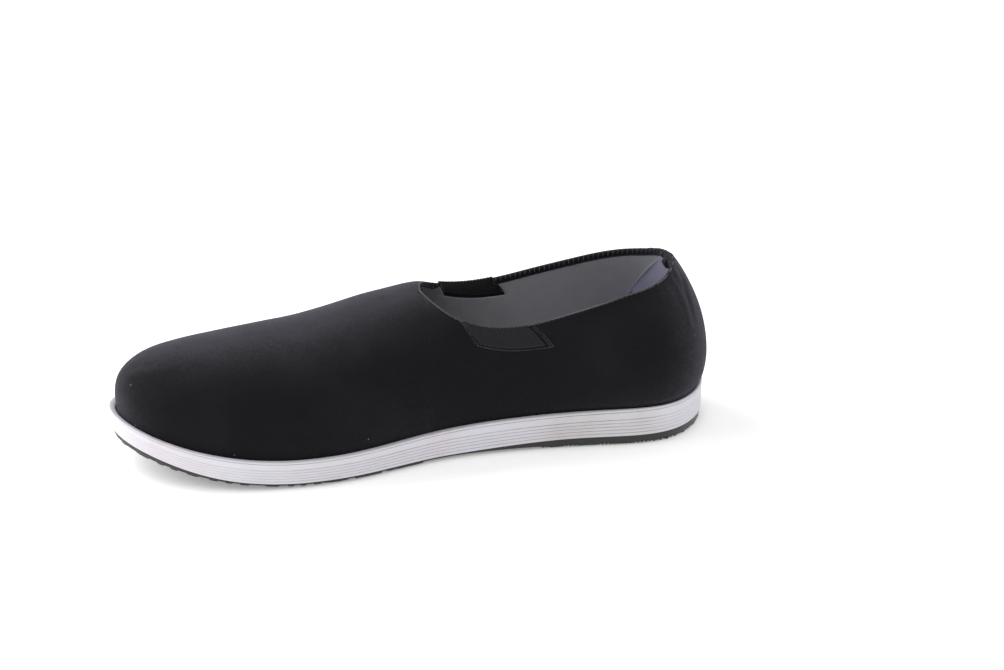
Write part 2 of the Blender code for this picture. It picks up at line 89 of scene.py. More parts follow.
def spline(points: np.ndarray, closed: bool) -> Callable[[np.ndarray], np.ndarray]:
    """Cubic spline through points.

    Args:
        points: The points, one in each row.
        closed: Whether the last point joins the first.

    Returns:
        A function from shares of the chord length to points.
    """
    if closed:
        points = np.vstack([points, points[:1]])
    steps = np.linalg.norm(np.diff(points, axis=0), axis=1)
    knots = np.concatenate([[0.0], np.cumsum(steps)]) / steps.sum()
    count = len(points)
    width = np.diff(knots)
    slopes = np.diff(points, axis=0) / width[:, None]
    matrix = np.zeros((count, count))
    right = np.zeros_like(points)
    for k in range(1, count - 1):
        matrix[k, k - 1] = width[k - 1]
        matrix[k, k] = 2.0 * (width[k - 1] + width[k])
        matrix[k, k + 1] = width[k]
        right[k] = 6.0 * (slopes[k] - slopes[k - 1])
    if closed:
        matrix[0, 0], matrix[0, -1] = 1.0, -1.0
        matrix[-1, 0] = 2.0 * width[0]
        matrix[-1, 1] = width[0]
        matrix[-1, -2] = width[-1]
        matrix[-1, -1] = 2.0 * width[-1]
        right[-1] = 6.0 * (slopes[0] - slopes[-1])
    else:
        matrix[0, 0] = matrix[-1, -1] = 1.0
    bends = np.linalg.solve(matrix, right)

    def at(share: np.ndarray) -> np.ndarray:
        """Points at these shares of the line."""
        share = np.atleast_1d(np.asarray(share, dtype=float))
        k = np.clip(np.searchsorted(knots, share, side="right") - 1, 0, count - 2)
        h = width[k][:, None]
        a = (knots[k + 1] - share)[:, None]
        b = (share - knots[k])[:, None]
        curved = bends[k] * a**3 / (6 * h) + bends[k + 1] * b**3 / (6 * h)
        before = (points[k] / h - bends[k] * h / 6) * a
        after = (points[k + 1] / h - bends[k + 1] * h / 6) * b
        return curved + before + after

    return at


@dataclass(frozen=True)
class SoleForm:
    """Outline and heights of the sole, as the solids have them."""

    gap: float = 0.0003
    toe_spring: float = 0.0132
    spring_start: float = -0.060
    spring_run: float = 0.080
    arch_rise: float = 0.0010
    band_top_ball: float = 0.0131
    band_top_heel: float = 0.0184
    tread_edge_ball: float = 0.0020
    tread_edge_heel: float = 0.0044
    lug_depth: float = 0.0014
    band_grow: float = 0.0020
    toe_flare: float = 0.0020
    flare_reach: tuple[float, float] = (0.095, 0.140)
    lip_at_toe: float = 0.0030
    lip_at_heel: float = 0.0014
    lip_reach: tuple[float, float] = (0.050, 0.125)
    lip_height: float = 0.0040
    shift: tuple[float, float] = (0.0037, 0.0001)
    rows: tuple[tuple[float, float, float], ...] = (
        # y, medial, lateral
        (0.118, 0.0346, 0.0317),
        (0.085, 0.0359, 0.0371),
        (0.045, 0.0324, 0.0401),
        (0.005, 0.0343, 0.0489),
        (-0.040, 0.0457, 0.0548),
        (-0.080, 0.0463, 0.0463),
        (-0.112, 0.0373, 0.0345),
    )
    heel_end: tuple[float, float] = (0.0, 0.140)
    toe_end: tuple[float, float] = (0.0052, -0.140)
    even_out: float = 0.045

    def spring(self, y: np.ndarray) -> np.ndarray:
        """Height of the tread over the floor: flat, then rising to the toe."""
        past = np.clip((self.spring_start - np.asarray(y)) / self.spring_run, 0.0, None)
        return self.toe_spring * past**2

    def arch(self, y: np.ndarray) -> np.ndarray:
        """Lift of the waist between heel and ball."""
        return self.arch_rise * ease(y, -0.004, 0.006) * (1.0 - ease(y, 0.046, 0.060))

    def band_top(self, y: np.ndarray) -> np.ndarray:
        """Height of the top of the white band."""
        rise = self.band_top_heel - self.band_top_ball
        return self.band_top_ball + rise * ease(y, -0.060, 0.110) + self.spring(y)

    def tread_edge(self, y: np.ndarray) -> np.ndarray:
        """Height of the top of the black edge."""
        rise = self.tread_edge_heel - self.tread_edge_ball
        return self.tread_edge_ball + rise * ease(y, 0.010, 0.075) + self.spring(y)

    def outline(self, columns: int) -> np.ndarray:
        """Tread outline: toe end, up the medial side, heel end, back down the lateral side.

        Args:
            columns: Stations along each side.

        Returns:
            Points in X and Y, one in each row.
        """
        table = np.array(self.rows)
        medial = table[::-1][:, [1, 0]]
        lateral = table[:, [2, 0]] * (-1.0, 1.0)
        points = np.vstack([[self.toe_end], medial, [self.heel_end], lateral])
        dense = spline(points, closed=True)(np.linspace(0.0, 1.0, 1441)[:-1])
        heel = int(np.argmin(np.linalg.norm(dense - self.heel_end, axis=1)))
        sides = (dense[: heel + 1], np.vstack([dense[heel:], dense[:1]])[::-1])
        even = np.linspace(0.0, 1.0, columns + 1)
        share = even - self.even_out * np.sin(2.0 * math.pi * even)
        ring = []
        for side in sides:
            run = np.concatenate([[0.0], np.cumsum(np.linalg.norm(np.diff(side, axis=0), axis=1))])
            ring.append(np.column_stack([np.interp(share * run[-1], run, side[:, k]) for k in (0, 1)]))
        return np.vstack([ring[0], ring[1][-2:0:-1]])

    def outward(self, ring: np.ndarray) -> np.ndarray:
        """Unit vectors that point out of a ring running this way round."""
        along = np.roll(ring, -1, axis=0) - np.roll(ring, 1, axis=0)
        return unit(np.column_stack([along[:, 1], -along[:, 0]]))

    def grown(self, ring: np.ndarray, distance: np.ndarray) -> np.ndarray:
        """The ring moved outwards by a distance."""
        return ring + self.outward(ring) * np.broadcast_to(distance, (len(ring),))[:, None]

    def band_ring(self, ring: np.ndarray, distance: np.ndarray, up: float = 1.0) -> np.ndarray:
        """Ring inside (-) or outside (+) the outer face of the white band, at a share of its height."""
        flare = self.toe_flare * up * ease(-ring[:, 1], *self.flare_reach)
        return self.grown(ring, self.band_grow + flare + distance)

    def lip(self, y: np.ndarray) -> np.ndarray:
        """Width of the rim of the band."""
        return self.lip_at_toe + (self.lip_at_heel - self.lip_at_toe) * ease(y, *self.lip_reach)


@dataclass
class Last:
    """Form of the foot that the upper is drawn over, as the solids have it."""

    sole: SoleForm
    columns: int = 36
    quarter_angle: float = 0.52
    topline_evenness: float = 0.80
    bulge_lowness: float = 0.62
    toe_swell: float = 0.0014
    toe_swell_height: float = 0.030
    toe_swell_reach: tuple[float, float] = (0.115, 0.140)
    heel_form: tuple[float, float] = (0.020, 0.080)
    tongue_columns: int = 4
    tongue_share: float = 0.036
    gore_start: float = 0.115
    gore_end: float = 0.250
    gore_level: float = 0.7
    ridge_rows: tuple[tuple[float, float, float], ...] = (
        # x, y, z
        (0.0052, -0.1407, 0.0262),
        (0.0052, -0.1402, 0.0350),
        (0.0050, -0.1376, 0.0432),
        (0.0048, -0.1325, 0.0488),
        (0.0045, -0.1240, 0.0528),
        (0.0042, -0.1120, 0.0546),
        (0.0035, -0.0950, 0.0557),
        (0.0020, -0.0700, 0.0574),
        (0.0005, -0.0480, 0.0587),
        (-0.0005, -0.0340, 0.0612),
        (-0.0010, -0.0190, 0.0651),
        (-0.0010, 0.0040, 0.0708),
    )
    topline_rows: tuple[tuple[float, float, float, float], ...] = (
        # y, medial, lateral, z
        (0.0040, -0.0010, 0.0010, 0.0708),
        (0.0055, 0.0070, 0.0090, 0.0705),
        (0.0080, 0.0128, 0.0148, 0.0692),
        (0.0120, 0.0178, 0.0200, 0.0668),
        (0.0175, 0.0216, 0.0243, 0.0642),
        (0.0250, 0.0245, 0.0277, 0.0620),
        (0.0350, 0.0267, 0.0299, 0.0609),
        (0.0480, 0.0280, 0.0311, 0.0616),
        (0.0660, 0.0284, 0.0306, 0.0650),
        (0.0850, 0.0276, 0.0288, 0.0690),
        (0.1000, 0.0263, 0.0262, 0.0723),
        (0.1110, 0.0232, 0.0230, 0.0741),
        (0.1185, 0.0175, 0.0175, 0.0758),
        (0.1240, 0.0095, 0.0095, 0.0783),
        (0.1262, 0.0000, 0.0000, 0.0796),
    )
    wall_rows: tuple[tuple[float, float, float], ...] = (
        # y, fullness, bulge
        (-0.140, 2.30, 0.0000),
        (-0.100, 2.30, 0.0000),
        (-0.060, 2.25, 0.0005),
        (-0.025, 2.30, 0.0010),
        (0.010, 2.55, 0.0015),
        (0.060, 2.40, 0.0020),
        (0.110, 2.30, 0.0034),
        (0.140, 2.40, 0.0040),
    )
    sides: dict = field(default_factory=dict, init=False)
    topline: dict = field(default_factory=dict, init=False)

    def __post_init__(self) -> None:
        """Work out the foot line, the ridge and the topline."""
        ring = self.sole.outline(240)
        foot = self.sole.band_ring(ring, -self.sole.lip(ring[:, 1]) - self.sole.gap)
        half = len(foot) // 2
        both = np.column_stack([foot, self.sole.outward(foot)])
        self.sides = {Side.MEDIAL: both[: half + 1], Side.LATERAL: np.vstack([both[half:], both[:1]])[::-1]}
        self.shares = np.linspace(0.0, 1.0, half + 1)
        dense = spline(np.array(self.ridge_rows), closed=False)(np.linspace(0.0, 1.0, 400))
        self.ridge = dense[np.argsort(dense[:, 1])]
        table = np.array(self.topline_rows)
        self.topline = {
            Side.MEDIAL: spline(table[:, [1, 0, 3]], closed=False),
            Side.LATERAL: spline(table[:, [2, 0, 3]] * (-1.0, 1.0, 1.0), closed=False),
        }
        middle = (self.sides[Side.MEDIAL][:, 1] + self.sides[Side.LATERAL][:, 1]) / 2.0
        self.throat = float(np.interp(self.topline_rows[0][0], middle, self.shares))
        self.gore = self.gore_edges()

    def gore_edges(self) -> tuple[float, float]:
        """First and last station of a gore, on the stations of the solid's columns."""
        ahead = int(round(self.columns * self.throat)) + 1
        tongue = self.throat + np.linspace(0.0, 1.0, self.tongue_columns + 1)[1:] * self.tongue_share
        edge = self.throat + self.tongue_share
        back = edge + np.linspace(0.0, 1.0, self.columns - ahead)[1:] * (1.0 - edge)
        stations = np.concatenate([np.linspace(0.0, self.throat, ahead), tongue, back])
        behind = 1.0 - self.throat
        places = (self.throat + self.gore_start * behind, self.throat + self.gore_end * behind)
        first, final = (float(stations[np.searchsorted(stations, place)]) for place in places)
        return first, final

    def foot(self, share: np.ndarray, side: Side) -> tuple[np.ndarray, np.ndarray]:
        """Foot of the wall and the direction out of it."""
        line = self.sides[side]
        found = np.column_stack([np.interp(share, self.shares, line[:, k]) for k in range(4)])
        return found[:, :2], found[:, 2:]

    def top_share(self, share: np.ndarray) -> np.ndarray:
        """Share of the topline that a station of the foot line goes up to."""
        behind = np.clip((np.asarray(share) - self.throat) / (1.0 - self.throat), 0.0, 1.0)
        return behind**self.topline_evenness

    def crest(self, share: np.ndarray, side: Side) -> np.ndarray:
        """Top of the wall: the ridge ahead of the throat, the topline behind it."""
        share = np.asarray(share, dtype=float)
        middle = (self.foot(share, Side.MEDIAL)[0][:, 1] + self.foot(share, Side.LATERAL)[0][:, 1]) / 2.0
        on_ridge = np.column_stack([np.interp(middle, self.ridge[:, 1], self.ridge[:, k]) for k in range(3)])
        on_top = self.topline[side](self.top_share(share))
        return np.where((share <= self.throat)[:, None], on_ridge, on_top)

    def turn(self, share: np.ndarray, place: np.ndarray, crest: np.ndarray, full: np.ndarray) -> np.ndarray:
        """How far round its arc each column goes: a quarter turn under the ridge, less at the sides."""
        middle = np.interp(place[:, 1], self.ridge[:, 1], self.ridge[:, 0])
        across = np.abs(crest[:, 0] - middle) / np.maximum(np.abs(place[:, 0] - middle), 1e-6)
        by_width = np.arccos(np.clip(across, 0.0, 0.95) ** (full / 2.0))
        by_width = np.where(share <= self.throat, math.pi / 2.0, by_width)
        heel = ease(place[:, 1], *self.heel_form)
        return by_width * (1.0 - heel) + self.quarter_angle * math.pi / 2.0 * heel

    def wall(self, share: np.ndarray, levels: np.ndarray, side: Side, inset: float = 0.0) -> np.ndarray:
        """Grid of points up the wall.

        Args:
            share: Stations along the foot line.
            levels: Heights as shares of the way up.
            side: The side of the shoe.
            inset: Distance inwards.

        Returns:
            An array of stations by levels by three.
        """
        share = np.atleast_1d(np.asarray(share, dtype=float))
        place, away = self.foot(share, side)
        crest = self.crest(share, side)
        table = np.array(self.wall_rows)
        full = np.interp(place[:, 1], table[:, 0], table[:, 1])
        bulge = np.interp(place[:, 1], table[:, 0], table[:, 2])[:, None]
        turn = self.turn(share, place, crest, full)[:, None]
        power = (2.0 / full)[:, None]
        angle = np.asarray(levels, dtype=float)[None, :] * turn
        lean = (1.0 - np.cos(angle) ** power) / (1.0 - np.clip(np.cos(turn), 0.0, 1.0) ** power)
        rise = np.sin(angle) ** power / np.sin(turn) ** power
        push = bulge * np.sin(math.pi * np.clip(rise, 0.0, 1.0) ** self.bulge_lowness) - inset
        low = self.sole.band_top(place[:, 1])[:, None] + self.sole.gap
        x = place[:, 0, None] + (crest[:, 0, None] - place[:, 0, None]) * lean + away[:, 0, None] * push
        y = place[:, 1, None] + (crest[:, 1, None] - place[:, 1, None]) * lean + away[:, 1, None] * push
        z = low + (crest[:, 2, None] - low) * rise
        swell = np.sin(math.pi * np.clip((z - low) / self.toe_swell_height, 0.0, 1.0))
        y = y - self.toe_swell * swell * ease(-y, *self.toe_swell_reach)
        return np.stack([x, y, z], axis=2)

    def footing(self, share: np.ndarray, side: Side) -> np.ndarray:
        """Lowest points of the wall, inside the cup of the sole."""
        place, _ = self.foot(share, side)
        height = self.sole.band_top(place[:, 1]) - self.sole.lip_height + self.sole.gap
        return np.column_stack([place, height])


class Signal:
    """A value in a material's node tree. Its operators add Math nodes."""

    def __init__(self, look: "Look", socket: bpy.types.NodeSocket) -> None:
        """Wrap one output socket of a look's tree."""
        self.look = look
        self.socket = socket

    def math(self, operation: str, first: "Signal | float", second: "Signal | float" = 0.0) -> "Signal":
        """The result of one Math node."""
        return self.look.node("ShaderNodeMath", {"operation": operation}, {0: first, 1: second})

    def __add__(self, other: "Signal | float") -> "Signal":
        """Sum."""
        return self.math("ADD", self, other)

    def __radd__(self, other: float) -> "Signal":
        """Sum with a number on the left."""
        return self.math("ADD", other, self)

    def __sub__(self, other: "Signal | float") -> "Signal":
        """Difference."""
        return self.math("SUBTRACT", self, other)

    def __rsub__(self, other: float) -> "Signal":
        """Difference from a number on the left."""
        return self.math("SUBTRACT", other, self)

    def __mul__(self, other: "Signal | float") -> "Signal":
        """Product."""
        return self.math("MULTIPLY", self, other)

    def __rmul__(self, other: float) -> "Signal":
        """Product with a number on the left."""
        return self.math("MULTIPLY", other, self)

    def sine(self) -> "Signal":
        """Sine of the value in radians."""
        return self.math("SINE", self)

    def eased(self, start: float, end: float) -> "Signal":
        """Smooth step from 0 at start to 1 at end."""
        limits = {"Value": self, "From Min": start, "From Max": end, "To Min": 0.0, "To Max": 1.0}
        return self.look.node("ShaderNodeMapRange", {"interpolation_type": "SMOOTHSTEP"}, limits)


@dataclass(frozen=True)
class Crease:
    """One crease of the cloth: a raised or sunk line with soft sides."""

    width: float
    rise: float
    path: tuple[Point, ...]

    def height(self, points: np.ndarray) -> np.ndarray:
        """Height that the crease adds at these places, largest at the middle of its path."""
        path = np.array(self.path)
        near = np.full(points.shape[:-1], 1e9)
        share = np.zeros(points.shape[:-1])
        for k in range(len(path) - 1):
            leg = path[k + 1] - path[k]
            along = np.clip(((points - path[k]) @ leg) / (leg @ leg), 0.0, 1.0)
            distance = np.linalg.norm(points - path[k] - along[..., None] * leg, axis=-1)
            closer = distance < near
            near = np.where(closer, distance, near)
            share = np.where(closer, (k + along) / (len(path) - 1), share)
        swell = np.sin(math.pi * np.clip(share, 0.02, 0.98)) ** 0.6
        return self.rise * swell * np.exp(-((near / self.width) ** 2))


TOE_FOLD = (
    (0.0060, -0.1376, 0.0440),
    (0.0105, -0.1340, 0.0458),
    (0.0150, -0.1262, 0.0478),
    (0.0190, -0.1120, 0.0500),
)
QUARTER_PULL = ((0.0330, 0.0200, 0.0520), (0.0370, 0.0380, 0.0440), (0.0360, 0.0600, 0.0400))
FAR_QUARTER_PULL = ((-0.0370, 0.0200, 0.0520), (-0.0410, 0.0380, 0.0440), (-0.0390, 0.0600, 0.0400))

CREASES = (
    # the soft fold across the toe, and the hollows round it
    Crease(0.0034, 0.00036, TOE_FOLD),
    Crease(0.0032, -0.00026, ((0.0045, -0.1345, 0.048), (0.0090, -0.1300, 0.0497), (0.0120, -0.1230, 0.0513))),
    Crease(0.0040, -0.00022, ((0.0150, -0.1290, 0.044), (0.0200, -0.1200, 0.0460), (0.0230, -0.1080, 0.0470))),
    Crease(0.0030, 0.00030, ((-0.0120, -0.1330, 0.045), (-0.017, -0.1240, 0.0490), (-0.020, -0.1100, 0.0500))),
    # slack at the back of the heel
    Crease(0.0022, 0.00036, ((0.0060, 0.1290, 0.0760), (0.0150, 0.1310, 0.0620), (0.0200, 0.1330, 0.0440))),
    Crease(0.0020, 0.00030, ((0.0130, 0.1240, 0.0750), (0.0210, 0.1270, 0.0640), (0.0260, 0.1290, 0.0480))),
    Crease(0.0014, -0.00030, ((0.0090, 0.1270, 0.0755), (0.0180, 0.1300, 0.0650), (0.0230, 0.1310, 0.0520))),
    Crease(0.0022, 0.00032, ((-0.0070, 0.1290, 0.0760), (-0.0140, 0.1310, 0.0640), (-0.0170, 0.1340, 0.0480))),
    Crease(0.0018, -0.00024, ((0.0000, 0.1290, 0.0740), (0.0020, 0.1340, 0.0600), (0.0010, 0.1370, 0.0420))),
    # pull of the quarters below the gores, and the break beside the throat
    Crease(0.0050, -0.00034, QUARTER_PULL),
    Crease(0.0050, -0.00034, FAR_QUARTER_PULL),
    Crease(0.0045, 0.00030, ((0.0240, -0.0050, 0.0600), (0.0320, 0.0020, 0.0520), (0.0380, 0.0040, 0.0400))),
)


class Look:
    """One material, built from a Principled shader and the nodes that feed it."""

    def __init__(self, name: str) -> None:
        """Start a material with only its shader and output."""
        self.material = bpy.data.materials.new(name)
        self.material.use_nodes = True
        self.tree = self.material.node_tree
        self.shader = self.tree.nodes["Principled BSDF"]

    def node(self, kind: str, settings: dict, inputs: dict, output: int | str = 0) -> Signal:
        """Add one node.

        Args:
            kind: The node's type.
            settings: Its properties, set first.
            inputs: Values or signals, by the name or number of their socket.
            output: The name or number of the output to give back.

        Returns:
            The output as a signal.
        """
        made = self.tree.nodes.new(kind)
        for name, value in settings.items():
            setattr(made, name, value)
        for name, value in inputs.items():
            if isinstance(value, Signal):
                self.tree.links.new(value.socket, made.inputs[name])
            else:
                made.inputs[name].default_value = value
        return Signal(self, made.outputs[output])

    def place(self) -> Signal:
        """Position on the piece, in metres."""
        return self.node("ShaderNodeTexCoord", {}, {}, "Object")

    def mark(self, name: str) -> Signal:
        """A number stored on the points of the piece."""
        return self.node("ShaderNodeAttribute", {"attribute_name": name}, {}, "Fac")

    def weave(self, pitch: float) -> Signal:
        """Threads over and under each other, from 0 to 1, by the distances along and across the cloth."""
        spot = self.node("ShaderNodeAttribute", {"attribute_name": "cloth"}, {}, "Vector")
        along = self.node("ShaderNodeSeparateXYZ", {}, {0: spot}, "X")
        across = Signal(self, along.socket.node.outputs["Y"])
        turn = 2.0 * math.pi / pitch
        return (along * turn).sine() * (across * turn).sine() * 0.5 + 0.5

    def noise(self, scale: float, detail: float = 2.0) -> Signal:
        """Soft noise around one half, with this many features to the metre."""
        inputs = {"Vector": self.place(), "Scale": scale, "Detail": detail}
        return self.node("ShaderNodeTexNoise", {}, inputs)

    def specks(self, scale: float, radius: float, share: float) -> Signal:
        """Small round specks, 1 inside and 0 outside.

        Args:
            scale: Cells to the metre.
            radius: Radius of a speck, as a share of a cell.
            share: Share of the cells that hold one.

        Returns:
            The mask.
        """
        spot = self.node("ShaderNodeTexVoronoi", {}, {"Vector": self.place(), "Scale": scale}, "Distance")
        colour = Signal(self, spot.socket.node.outputs["Color"])
        chance = self.node("ShaderNodeSeparateColor", {}, {0: colour})
        return (1.0 - spot.eased(radius * 0.5, radius)) * chance.eased(1.0 - share, 1.0 - share + 0.01)

    def mix(self, share: Signal, first: "Signal | Colour", second: "Signal | Colour") -> Signal:
        """Blend two colours: the first at 0 and the second at 1."""
        ends = [end if isinstance(end, Signal) else (*end, 1.0) for end in (first, second)]
        return self.node("ShaderNodeMix", {"data_type": "RGBA"}, {0: share, 6: ends[0], 7: ends[1]}, 2)

    def bump(self, height: Signal, distance: float, after: Signal | None = None) -> Signal:
        """Normal bent by a height of 0 to 1, over this many metres."""
        inputs = {"Height": height, "Distance": distance, "Strength": 1.0}
        if after is not None:
            inputs["Normal"] = after
        return self.node("ShaderNodeBump", {}, inputs)

    def feed(self, name: str, value: "Signal | float | Colour") -> None:
        """Set one socket of the shader, by a signal or by a constant."""
        socket = self.shader.inputs[name]
        if isinstance(value, Signal):
            self.tree.links.new(value.socket, socket)
        elif isinstance(value, tuple):
            socket.default_value = (*value, 1.0)
        else:
            socket.default_value = value

    def dull(self, roughness: "Signal | float", gloss: float) -> None:
        """Set how rough the surface is, and how strongly it mirrors."""
        self.feed("Roughness", roughness)
        self.feed("Specular IOR Level", gloss)

    def nap(self, weight: float, roughness: float) -> None:
        """Set the soft shine of a cloth's fibres."""
        self.feed("Sheen Weight", weight)
        self.feed("Sheen Roughness", roughness)


@dataclass(frozen=True)
class Cotton:
    """Black cotton cloth: fine weave, soft nap, faint fade, lint, grey worn patches at the heel and a painted
    highlight on the top of the toe.
    """

    name: str = "black_cotton_cloth"
    dark: Colour = (0.0034, 0.0033, 0.0042)
    faded: Colour = (0.0064, 0.0062, 0.0078)
    # grey of worn nap at the heel, also used for a painted highlight on the top of the toe
    wear_and_highlight_grey: Colour = (0.0300, 0.0295, 0.0335)
    lint: Colour = (0.2200, 0.2200, 0.2400)
    lint_share: float = 0.10
    weave_pitch: float = 0.00075
    weave_depth: float = 0.00012
    nap_depth: float = 0.00022
    crumple_depth: float = 0.00022
    roughness: float = 0.92
    gloss: float = 0.18
    sheen: float = 0.24
    sheen_roughness: float = 0.36
    sheen_tint: Colour = (0.82, 0.78, 1.0)

    def look(self) -> bpy.types.Material:
        """Build the material."""
        made = Look(self.name)
        weave = made.weave(self.weave_pitch)
        nap = made.noise(2600.0, 3.0)
        fade = made.noise(38.0, 3.0).eased(0.35, 0.75)
        ground = made.mix(fade, self.dark, self.faded)
        ground = made.mix((weave * nap).eased(0.25, 0.75) * 0.35, ground, self.faded)
        # lighter grey where the nap is worn at the heel, and a painted highlight on the top of the toe
        wear_and_toe_highlight = made.mark("wear_and_toe_highlight") * made.noise(1700.0, 4.0).eased(0.36, 0.70)
        ground = made.mix(wear_and_toe_highlight, ground, self.wear_and_highlight_grey)
        ground = made.mix(made.specks(170.0, 0.070, self.lint_share) * 0.8, ground, self.lint)
        made.feed("Base Color", ground)
        made.dull(self.roughness, self.gloss)
        made.nap(self.sheen, self.sheen_roughness)
        made.feed("Sheen Tint", self.sheen_tint)
        soft = made.bump(made.noise(130.0), self.crumple_depth)
        fuzz = made.bump(nap, self.nap_depth, soft)
        made.feed("Normal", made.bump(weave, self.weave_depth, fuzz))
        return made.material


@dataclass(frozen=True)
class LiningCloth:
    """Plain woven lining: grey ahead, blue grey in its heel piece."""

    name: str = "grey_lining_cloth"
    front: Colour = (0.312, 0.314, 0.330)
    heel: Colour = (0.365, 0.365, 0.505)
    shade: Colour = (0.240, 0.240, 0.270)
    shade_share: float = 0.35
    weave_pitch: float = 0.00095
    weave_shade: float = 0.16
    weave_depth: float = 0.00014
    crumple_depth: float = 0.0006
    roughness: float = 0.95
    gloss: float = 0.20
    sheen: float = 0.25
    sheen_roughness: float = 0.5

    def look(self) -> bpy.types.Material:
        """Build the material."""
        made = Look(self.name)
        weave = made.weave(self.weave_pitch)
        ground = made.mix(made.mark("heel_piece"), self.front, self.heel)
        patches = made.noise(70.0, 3.0).eased(0.40, 0.80) * self.shade_share
        ground = made.mix(patches, ground, self.shade)
        made.feed("Base Color", made.mix(weave * self.weave_shade, ground, self.shade))
        made.dull(self.roughness, self.gloss)
        made.nap(self.sheen, self.sheen_roughness)
        soft = made.bump(made.noise(140.0), self.crumple_depth)
        made.feed("Normal", made.bump(weave, self.weave_depth, soft))
        return made.material


@dataclass(frozen=True)
class Thread:
    """Sewing thread with its twist."""

    name: str
    colour: Colour
    deep: Colour
    twist_depth: float = 0.00008
    roughness: float = 0.70
    sheen: float = 0.30

    def look(self) -> bpy.types.Material:
        """Build the material."""
        made = Look(self.name)
        twist = made.noise(3200.0).eased(0.35, 0.65)
        made.feed("Base Color", made.mix(twist, self.deep, self.colour))
        made.feed("Roughness", self.roughness)
        made.feed("Sheen Weight", self.sheen)
        made.feed("Normal", made.bump(twist, self.twist_depth))
        return made.material


@dataclass(frozen=True)
class Elastic:
    """Ribbed woven elastic."""

    name: str = "black_elastic_web"
    dark: Colour = (0.0040, 0.0040, 0.0050)
    light: Colour = (0.0150, 0.0150, 0.0175)
    knit_depth: float = 0.00014
    roughness: float = 0.80
    gloss: float = 0.20
    sheen: float = 0.15

    def look(self) -> bpy.types.Material:
        """Build the material."""
        made = Look(self.name)
        knit = made.noise(2400.0)
        ribs = made.mark("rib") * knit.eased(0.30, 0.80)
        made.feed("Base Color", made.mix(ribs, self.dark, self.light))
        made.dull(self.roughness, self.gloss)
        made.feed("Sheen Weight", self.sheen)
        made.feed("Normal", made.bump(knit, self.knit_depth))
        return made.material


@dataclass(frozen=True)
class WhiteRubber:
    """Moulded white rubber, a little dirty in its grooves, with painted shade from the waist back and a little
    darker at the toe tip.
    """

    name: str = "white_moulded_rubber"
    clean: Colour = (0.640, 0.630, 0.680)
    tint: Colour = (0.610, 0.570, 0.590)
    dirt: Colour = (0.330, 0.310, 0.290)
    # painted shade over the band from the waist towards the heel, and a slight darkening at the toe tip
    shade_and_toe_tone: Colour = (0.400, 0.375, 0.350)
    tint_share: float = 0.60
    groove_dirt: float = 0.50
    scuff_dirt: float = 0.55
    smoothest: float = 0.42
    roughness_range: float = 0.25
    gloss: float = 0.42
    grain_depth: float = 0.00010
    ripple_depth: float = 0.0005

    def look(self) -> bpy.types.Material:
        """Build the material."""
        made = Look(self.name)
        patch = made.noise(46.0, 3.0).eased(0.40, 0.75)
        ground = made.mix(patch * self.tint_share, self.clean, self.tint)
        groove = made.mark("groove") * made.noise(150.0, 3.0).eased(0.30, 0.62)
        ground = made.mix(groove * self.groove_dirt, ground, self.dirt)
        # painted shade from the waist towards the heel, and a slight darkening at the toe tip
        ground = made.mix(made.mark("waist_shade_and_toe_darkening") * (patch * 0.4 + 0.6), ground, self.shade_and_toe_tone)
        scuff = made.specks(210.0, 0.10, 0.10) * made.noise(900.0)
        made.feed("Base Color", made.mix(scuff * self.scuff_dirt, ground, self.dirt))
        rough = made.noise(220.0, 3.0) * self.roughness_range + self.smoothest
        made.dull(rough, self.gloss)
        fine = made.bump(made.noise(1500.0, 3.0), self.grain_depth)
        made.feed("Normal", made.bump(made.noise(120.0), self.ripple_depth, fine))
        return made.material


@dataclass(frozen=True)
class BlackRubber:
    """Moulded black rubber: dull with a soft gloss on its edges, and a little dust."""

    name: str = "black_moulded_rubber"
    dark: Colour = (0.0075, 0.0078, 0.0080)
    dusty: Colour = (0.0150, 0.0155, 0.0175)
    speck: Colour = (0.16, 0.16, 0.17)
    dust_share: float = 0.55
    smoothest: float = 0.24
    roughness_range: float = 0.28
    gloss: float = 0.55
    coat: float = 0.12
    coat_roughness: float = 0.35
    grain_depth: float = 0.00008

    def look(self) -> bpy.types.Material:
        """Build the material."""
        made = Look(self.name)
        dust = made.noise(58.0, 4.0).eased(0.42, 0.80)
        ground = made.mix(dust * self.dust_share, self.dark, self.dusty)
        made.feed("Base Color", made.mix(made.specks(240.0, 0.06, 0.06) * 0.5, ground, self.speck))
        rough = made.noise(95.0, 3.0) * self.roughness_range + self.smoothest
        made.dull(rough, self.gloss)
        made.feed("Coat Weight", self.coat)
        made.feed("Coat Roughness", self.coat_roughness)
        made.feed("Normal", made.bump(made.noise(1900.0), self.grain_depth))
        return made.material


@dataclass(frozen=True)
class PaleFloor:
    """Plain white studio floor."""

    name: str = "pale_floor"
    colour: Colour = (0.92, 0.92, 0.92)
    white: Colour = (1.0, 1.0, 1.0)
    glow: float = 0.22
    roughness: float = 0.90
    gloss: float = 0.10

    def look(self) -> bpy.types.Material:
        """Build the material."""
        made = Look(self.name)
        made.feed("Base Color", self.colour)
        made.dull(self.roughness, self.gloss)
        made.feed("Emission Color", self.white)
        made.feed("Emission Strength", self.glow)
        return made.material


class Finishes:
    """Every finish of the shoe, built once."""

    def __init__(self) -> None:
        """Build the materials."""
        self.cotton = Cotton().look()
        self.lining = LiningCloth().look()
        self.dark_thread = Thread("dark_thread", (0.0105, 0.0105, 0.0125), (0.0040, 0.0040, 0.0050)).look()
        self.grey_thread = Thread("grey_thread", (0.095, 0.095, 0.110), (0.045, 0.045, 0.053)).look()
        self.elastic = Elastic().look()
        self.white_rubber = WhiteRubber().look()
        self.black_rubber = BlackRubber().look()
        self.floor = PaleFloor().look()


